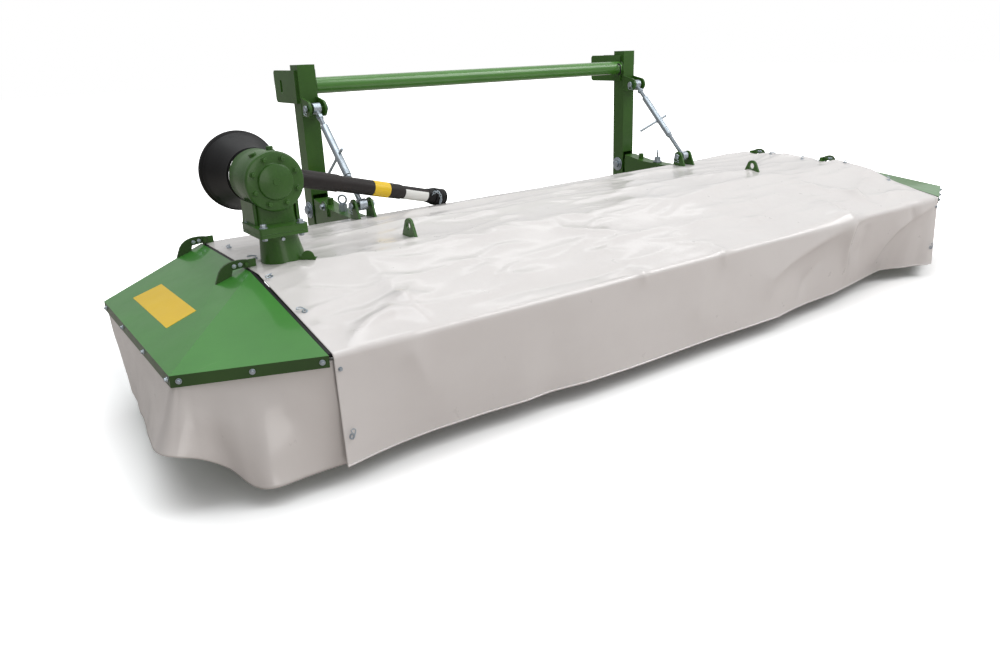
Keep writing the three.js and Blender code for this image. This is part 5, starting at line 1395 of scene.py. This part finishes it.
piece("arm_bolt", arm_bolt, zinc, "frame", bevel=0.8 * MM)
print("pins, clips and pivots done")

# %% [markdown]
# ## Discs
# The cutting discs keep their shape, with their edges eased. Low faces away from the hub belong to the
# knives, and take a brighter, ground steel.

# %% Discs and knives
KNIFE_TOP_Z = 0.0805
DISC_PITCH, DISC_Y, HUB_R = 0.423, -0.225, 0.06
for number in range(1, 9):
    turning = eased(f"disc_{number}", steel, 0.8 * MM)
    turning.data.materials.append(knife_steel)
    for face in turning.data.polygons:
        out = math.hypot(face.center.x - (number - 4.5) * DISC_PITCH, face.center.y - DISC_Y)
        if face.center.z < KNIFE_TOP_Z and out > HUB_R:
            face.material_index = 1
print("eight discs done")

# %% [markdown]
# ## Trim of the guards and the cover
# A dark rubber strip lines the joint between guard and cover. Flange bolts hold the end cloths, and wire
# clips through eyelets hold the cover's edge. A blank yellow patch sits where a maker would put its safety
# signs.

# %% Guard bolts, patch and seams
FACE = {
    "front_inner": np.array([1.612, -0.877, 0.395]), "crease": np.array([1.612, -0.302, 0.509]),
    "rear_inner": np.array([1.612, 0.236, 0.509]), "rear_outer": np.array([1.983, 0.158, 0.381]),
    "front_outer": np.array([1.983, -0.701, 0.381]),
}
for side, guard in ((-1, "left"), (1, "right")):
    bolts = []
    lip = 0.017
    front_a, front_b = FACE["front_inner"], FACE["front_outer"]
    front_out = unit(np.cross(front_b - front_a, (0, 0, -1)) * np.array([1, 1, 0]))
    if front_out[1] > 0:
        front_out = -front_out
    for t in (0.045, 0.49, 0.945):
        bolts.append(bolt(front_a + (front_b - front_a) * t + front_out * 0.4 * MM - np.array([0, 0, lip]),
                          front_out,
                          10 * MM))
    side_a, side_b = FACE["front_outer"], FACE["rear_outer"]
    for t in (0.03, 0.337, 0.663, 0.965):
        bolts.append(bolt(side_a + (side_b - side_a) * t + np.array([0.0004, 0, -lip]), (1, 0, 0), 9 * MM))
    slope = -(0.509 - 0.381) / (1.983 - 1.612)
    hook_bolts = joined([
        bolt((1.606 + dx, y + way * 0.0052, 0.5275 - 0.10 * dx), (0, way, 0), 9 * MM)
        for y in HOOKS_Y for dx in (0.020, 0.040) for way in (-1, 1)
    ])
    shape = joined(bolts + [hook_bolts])
    piece(guard + "_guard_bolts", shape if side > 0 else mirrored(shape), zinc, guard + "_guard",
          bevel=0.5 * MM)
    ear_bolts = joined([
        bolt((1.5755 + dx, y + 0.0145, 0.5145), (0, 1, 0), 10 * MM)
        for y in HOOKS_Y for dx in (0, 0.018)
    ])
    piece(guard + "_ear_bolts", ear_bolts if side > 0 else mirrored(ear_bolts), zinc, "frame",
          bevel=0.5 * MM)
    seam = np.array([(1.6045, -0.868, 0.3905), (1.6045, -0.60, 0.4435), (1.6045, -0.306, 0.5020),
                     (1.6045, -0.25, 0.5025), (1.6045, 0.10, 0.5025), (1.6045, 0.234, 0.5025)])
    runs = [np.linspace(seam[k], seam[k + 1], 14)[:-1] for k in range(len(seam) - 1)]
    path = np.vstack([*runs, seam[-1:]])
    outline = rounded_rectangle(0.0072, 0.0055, 0.003, 4)
    strip = lofted([[(at[0] + a, at[1], at[2] + b) for a, b in outline] for at in path])
    piece(guard + "_seam_rubber", strip if side > 0 else mirrored(strip), black_plastic, guard + "_guard")
print("guard bolts and seam strips done")


patch_places = [(1.8166, 0.025), (1.9105, 0.035), (1.9045, -0.378), (1.8110, -0.370)]
lift = 0.7 * MM * unit((-slope, 0, 1))
flat_patch = np.array([(-px, py, 0.509 + slope * (px - 1.612)) for px, py in patch_places])
lift[0] *= -1
high, low = flat_patch + lift, flat_patch - lift
patch = outward((np.vstack([high, low]), [quads(2, 4, wrap_columns=True), np.array([[3, 2, 1, 0]]),
                                         np.array([[4, 5, 6, 7]])]))
piece("left_yellow_patch", patch, patch_yellow, "left_guard")

# %% Cover clips, hems and the small ear
def surface_at(at_x, at_q, lift=0.0):
    """A point of the cover's surface, with the direction of its normal, found from the sheet's grid."""
    i = int(np.clip(np.searchsorted(rows, at_q), 1, len(rows) - 2))
    j = int(np.clip(np.searchsorted(columns, at_x), 1, len(columns) - 2))
    normal = unit(np.cross(points[i, j + 1] - points[i, j - 1], points[i - 1, j] - points[i + 1, j]))
    outwards = np.array([0, normal_y[i, j], normal_z[i, j]])
    normal = normal if normal @ outwards > 0 else -normal
    base_point = points[i, j] + (at_x - columns[j]) * unit(points[i, j + 1] - points[i, j - 1])
    return base_point + lift * normal, normal


def eyelet(at_x, at_q, turn):
    """A rolled eyelet in the cloth, with a wire clip through it."""
    centre, normal = surface_at(at_x, at_q)
    ring = turned_ring(0.005, 0.0095, 0.0022, centre + normal * 0.0008, normal, 24, 0.5 * MM)
    across, beside = square_to(normal)
    direction = math.cos(turn) * across + math.sin(turn) * beside
    sideways = np.cross(normal, direction)
    line = [(-0.3, 0.0, -0.10), (-0.1, 0.0, 0.25), (0.35, 0.1, 0.40), (0.8, 0.25, 0.35), (0.95, 0.0, 0.35),
            (0.75, -0.25, 0.38), (0.3, -0.12, 0.42), (-0.25, 0.12, 0.35)]
    path = np.array([centre + 0.026 * (a * direction + b * sideways + c * normal) for a, b, c in line])
    return joined([ring, tube(smooth_path(path, 48), 1.5 * MM, 8, up=normal + 0.05 * across)])


clips_deck, clips_flap = [], []
for side in (-1, 1):
    for px, py, turn in ((1.559, 0.082, 0.4), (1.541, -0.141, 2.0)):
        clips_deck.append(eyelet(side * px, top(px, py)[1], turn * side))
    for px, py, turn in ((1.575, -0.372, 0.8), (1.572, -0.632, 2.4)):
        clips_flap.append(eyelet(side * px, top(px, py)[1], turn * side))
    centre, normal = surface_at(side * 1.585, hang(0, 0.357)[1])
    clips_flap.append(bolt(centre, normal, 8 * MM))
    clips_flap.append(eyelet(side * 1.575, hang(0, 0.150)[1], 1.5))
piece("deck_clips", joined(clips_deck), zinc, "frame")
piece("cover_clips", joined(clips_flap), zinc, "front_flap")

ear_at, _ = surface_at(-1.408, top(0, -0.290)[1])
ear_outline = [(-0.026, -0.012), (0.028, -0.012), (0.030, 0.002)] + arc((0.006, 0.010), 0.019, 5, 172,
                                                                        12) + [
    (-0.024, 0.004)]
ear = joined([
    plate(ear_outline, 0.008, (ear_at[0] - 0.012, ear_at[1] - 0.004, ear_at[2]), (0.80, -0.60, 0),
          (0, 0, 1)),
    plate([(-0.022, -0.012), (0.022, -0.012), (0.022, 0.012), (-0.022, 0.012)], 0.006,
          (ear_at[0], ear_at[1], ear_at[2] - 0.003), (0.80, -0.60, 0), (0.60, 0.80, 0)),
])
piece("small_deck_ear", ear, frame_paint, "frame", bevel=1.5 * MM)


def hem(name, line, body, material):
    """A welded hem: a low, wide bead of cloth along the sheet's lower edge."""
    path = np.asarray(line, float)
    return piece(name, tube(path, 3.2 * MM, 10, up=(0, 0, 1)), material, body)


hem("cover_hem", points[-1, ::2] + np.array([0, 0, 0.004]), "front_flap", white_cloth)
print("clips, ear and hem done")

# %% [markdown]
# ## Light and camera
# The machine stands on a pale floor in soft light. A large lamp at the right and front and another overhead
# give the cloth its bright top, and a low one in front lifts the shaded curtain. Two long narrow strips, one
# above the front and one behind, draw the gloss along the creases. The sky is brightest up and to the right
# and almost dark low down. To the camera alone the background is white, and the floor glows away from the
# machine, so the ground reads as paper while the soft shadow at the hem stays.

# %% Floor, world and lamps
FLOOR_BOUNCE, FLOOR_SEEN = (0.50, 0.465, 0.445), 1.16
floor_mesh = bpy.data.meshes.new("floor")
floor_mesh.from_pydata([(-30, -30, 0), (30, -30, 0), (30, 30, 0), (-30, 30, 0)], [], [(0, 1, 2, 3)])
floor = bpy.data.objects.new("floor", floor_mesh)
bpy.context.scene.collection.objects.link(floor)
floor_material = bpy.data.materials.new("pale_floor")
floor_material.use_nodes = True
ground = floor_material.node_tree
ground.nodes.remove(ground.nodes["Principled BSDF"])
dull, seen = ground.nodes.new("ShaderNodeBsdfDiffuse"), ground.nodes.new("ShaderNodeBsdfDiffuse")
dull.inputs["Color"].default_value = (*FLOOR_BOUNCE, 1)
seen.inputs["Color"].default_value = (FLOOR_SEEN, FLOOR_SEEN, FLOOR_SEEN, 1)
glow = ground.nodes.new("ShaderNodeEmission")
size_of = ground.nodes.new("ShaderNodeVectorMath")
size_of.operation = "ABSOLUTE"
ground.links.new(ground.nodes.new("ShaderNodeTexCoord").outputs["Object"], size_of.inputs[0])
beyond = ground.nodes.new("ShaderNodeVectorMath")
beyond.operation = "SUBTRACT"
beyond.inputs[1].default_value = (1.85, 0.80, 0.0)
ground.links.new(size_of.outputs[0], beyond.inputs[0])
positive = ground.nodes.new("ShaderNodeVectorMath")
positive.operation = "MAXIMUM"
positive.inputs[1].default_value = (0.0, 0.0, 0.0)
ground.links.new(beyond.outputs[0], positive.inputs[0])
spread = ground.nodes.new("ShaderNodeVectorMath")
spread.operation = "LENGTH"
ground.links.new(positive.outputs[0], spread.inputs[0])
ground.links.new(ramp(ground, spread.outputs["Value"], 0.10, 0.75), glow.inputs["Strength"])
both = ground.nodes.new("ShaderNodeAddShader")
ground.links.new(seen.outputs[0], both.inputs[0])
ground.links.new(glow.outputs[0], both.inputs[1])
choice = ground.nodes.new("ShaderNodeMixShader")
ray = ground.nodes.new("ShaderNodeLightPath")
straight = math_node(ground, "MAXIMUM", ray.outputs["Is Camera Ray"], ray.outputs["Is Transmission Ray"])
ground.links.new(straight, choice.inputs[0])
ground.links.new(dull.outputs[0], choice.inputs[1])
ground.links.new(both.outputs[0], choice.inputs[2])
ground.links.new(choice.outputs[0], ground.nodes["Material Output"].inputs["Surface"])
floor_mesh.materials.append(floor_material)

SKY_DARK, SKY_BRIGHT = 0.05, 0.80
world = bpy.data.worlds.new("soft_sky")
bpy.context.scene.world = world
world.use_nodes = True
sky = world.node_tree
background = sky.nodes["Background"]
background.inputs["Color"].default_value = (1.0, 1.0, 1.0, 1)
towards = sky.nodes.new("ShaderNodeVectorMath")
towards.operation = "DOT_PRODUCT"
towards.inputs[1].default_value = tuple(unit((0.50, 0.10, 0.80)))
sky.links.new(sky.nodes.new("ShaderNodeTexCoord").outputs["Generated"], towards.inputs[0])
brightness = math_node(sky, "MULTIPLY", ramp(sky, towards.outputs["Value"], -0.7, 1.0),
                       SKY_BRIGHT - SKY_DARK)
sky.links.new(math_node(sky, "ADD", brightness, SKY_DARK), background.inputs["Strength"])
plain = sky.nodes.new("ShaderNodeBackground")
plain.inputs["Color"].default_value = (1.0, 1.0, 1.0, 1)
plain.inputs["Strength"].default_value = 1.0
either = sky.nodes.new("ShaderNodeMixShader")
path_node = sky.nodes.new("ShaderNodeLightPath")
sky.links.new(path_node.outputs["Is Camera Ray"], either.inputs[0])
sky.links.new(background.outputs[0], either.inputs[1])
sky.links.new(plain.outputs[0], either.inputs[2])
sky.links.new(either.outputs[0], sky.nodes["World Output"].inputs["Surface"])


def lamp(name, place, aim, size, power, colour=(1, 1, 1), depth=None):
    """An area lamp at a place, turned towards another. It is square, or a strip of the given depth."""
    light = bpy.data.lights.new(name, "AREA")
    light.shape = "RECTANGLE"
    light.size = size
    light.size_y = depth or size
    light.energy = power
    light.color = colour
    made = bpy.data.objects.new(name, light)
    made.location = place
    toward = np.array(aim, float) - np.array(place, float)
    made.rotation_euler = Vector(toward.tolist()).to_track_quat("-Z", "Y").to_euler()
    bpy.context.scene.collection.objects.link(made)
    return made


lamp("key", (4.5, -4.0, 5.5), (0, -0.2, 0.3), 4.0, 172)
lamp("front_strip", (4.5, -2.2, 6.0), (4.5, -0.86, 0.45), 7.0, 45, depth=0.25)
lamp("rear_strip", (4.0, 5.0, 5.0), (2.5, -0.3, 0.5), 7.0, 15, depth=0.5)
lamp("top", (-1.0, 0.5, 6.0), (0, 0, 0.4), 5.0, 150, (0.95, 0.98, 1.0))
lamp("front_fill", (-2.2, -7.0, 1.6), (-0.9, -0.8, 0.2), 3.0, 52, (1.0, 0.96, 0.93))

# %% Camera
camera_data = bpy.data.cameras.new("camera")
camera_data.sensor_width = 36.0
camera_data.lens = 28.467
camera_data.shift_x = -0.0063
camera_data.shift_y = -0.0166
camera = bpy.data.objects.new("camera", camera_data)
yaw, pitch, rolled = math.radians(-35.41), math.radians(18.848), math.radians(-2.014)
forward = np.array([-math.sin(yaw) * math.cos(pitch), math.cos(yaw) * math.cos(pitch), -math.sin(pitch)])
level = np.array([math.cos(yaw), math.sin(yaw), 0.0])
above = np.cross(level, forward)
right_axis = math.cos(rolled) * level + math.sin(rolled) * above
up_axis = -math.sin(rolled) * level + math.cos(rolled) * above
matrix = np.eye(4)
matrix[:3, 0], matrix[:3, 1], matrix[:3, 2] = right_axis, up_axis, -forward
matrix[:3, 3] = (-2.368, -2.768, 1.163)
camera.matrix_world = matrix.T.tolist()
bpy.context.scene.collection.objects.link(camera)
bpy.context.scene.camera = camera
bpy.context.scene.view_settings.view_transform = "Standard"
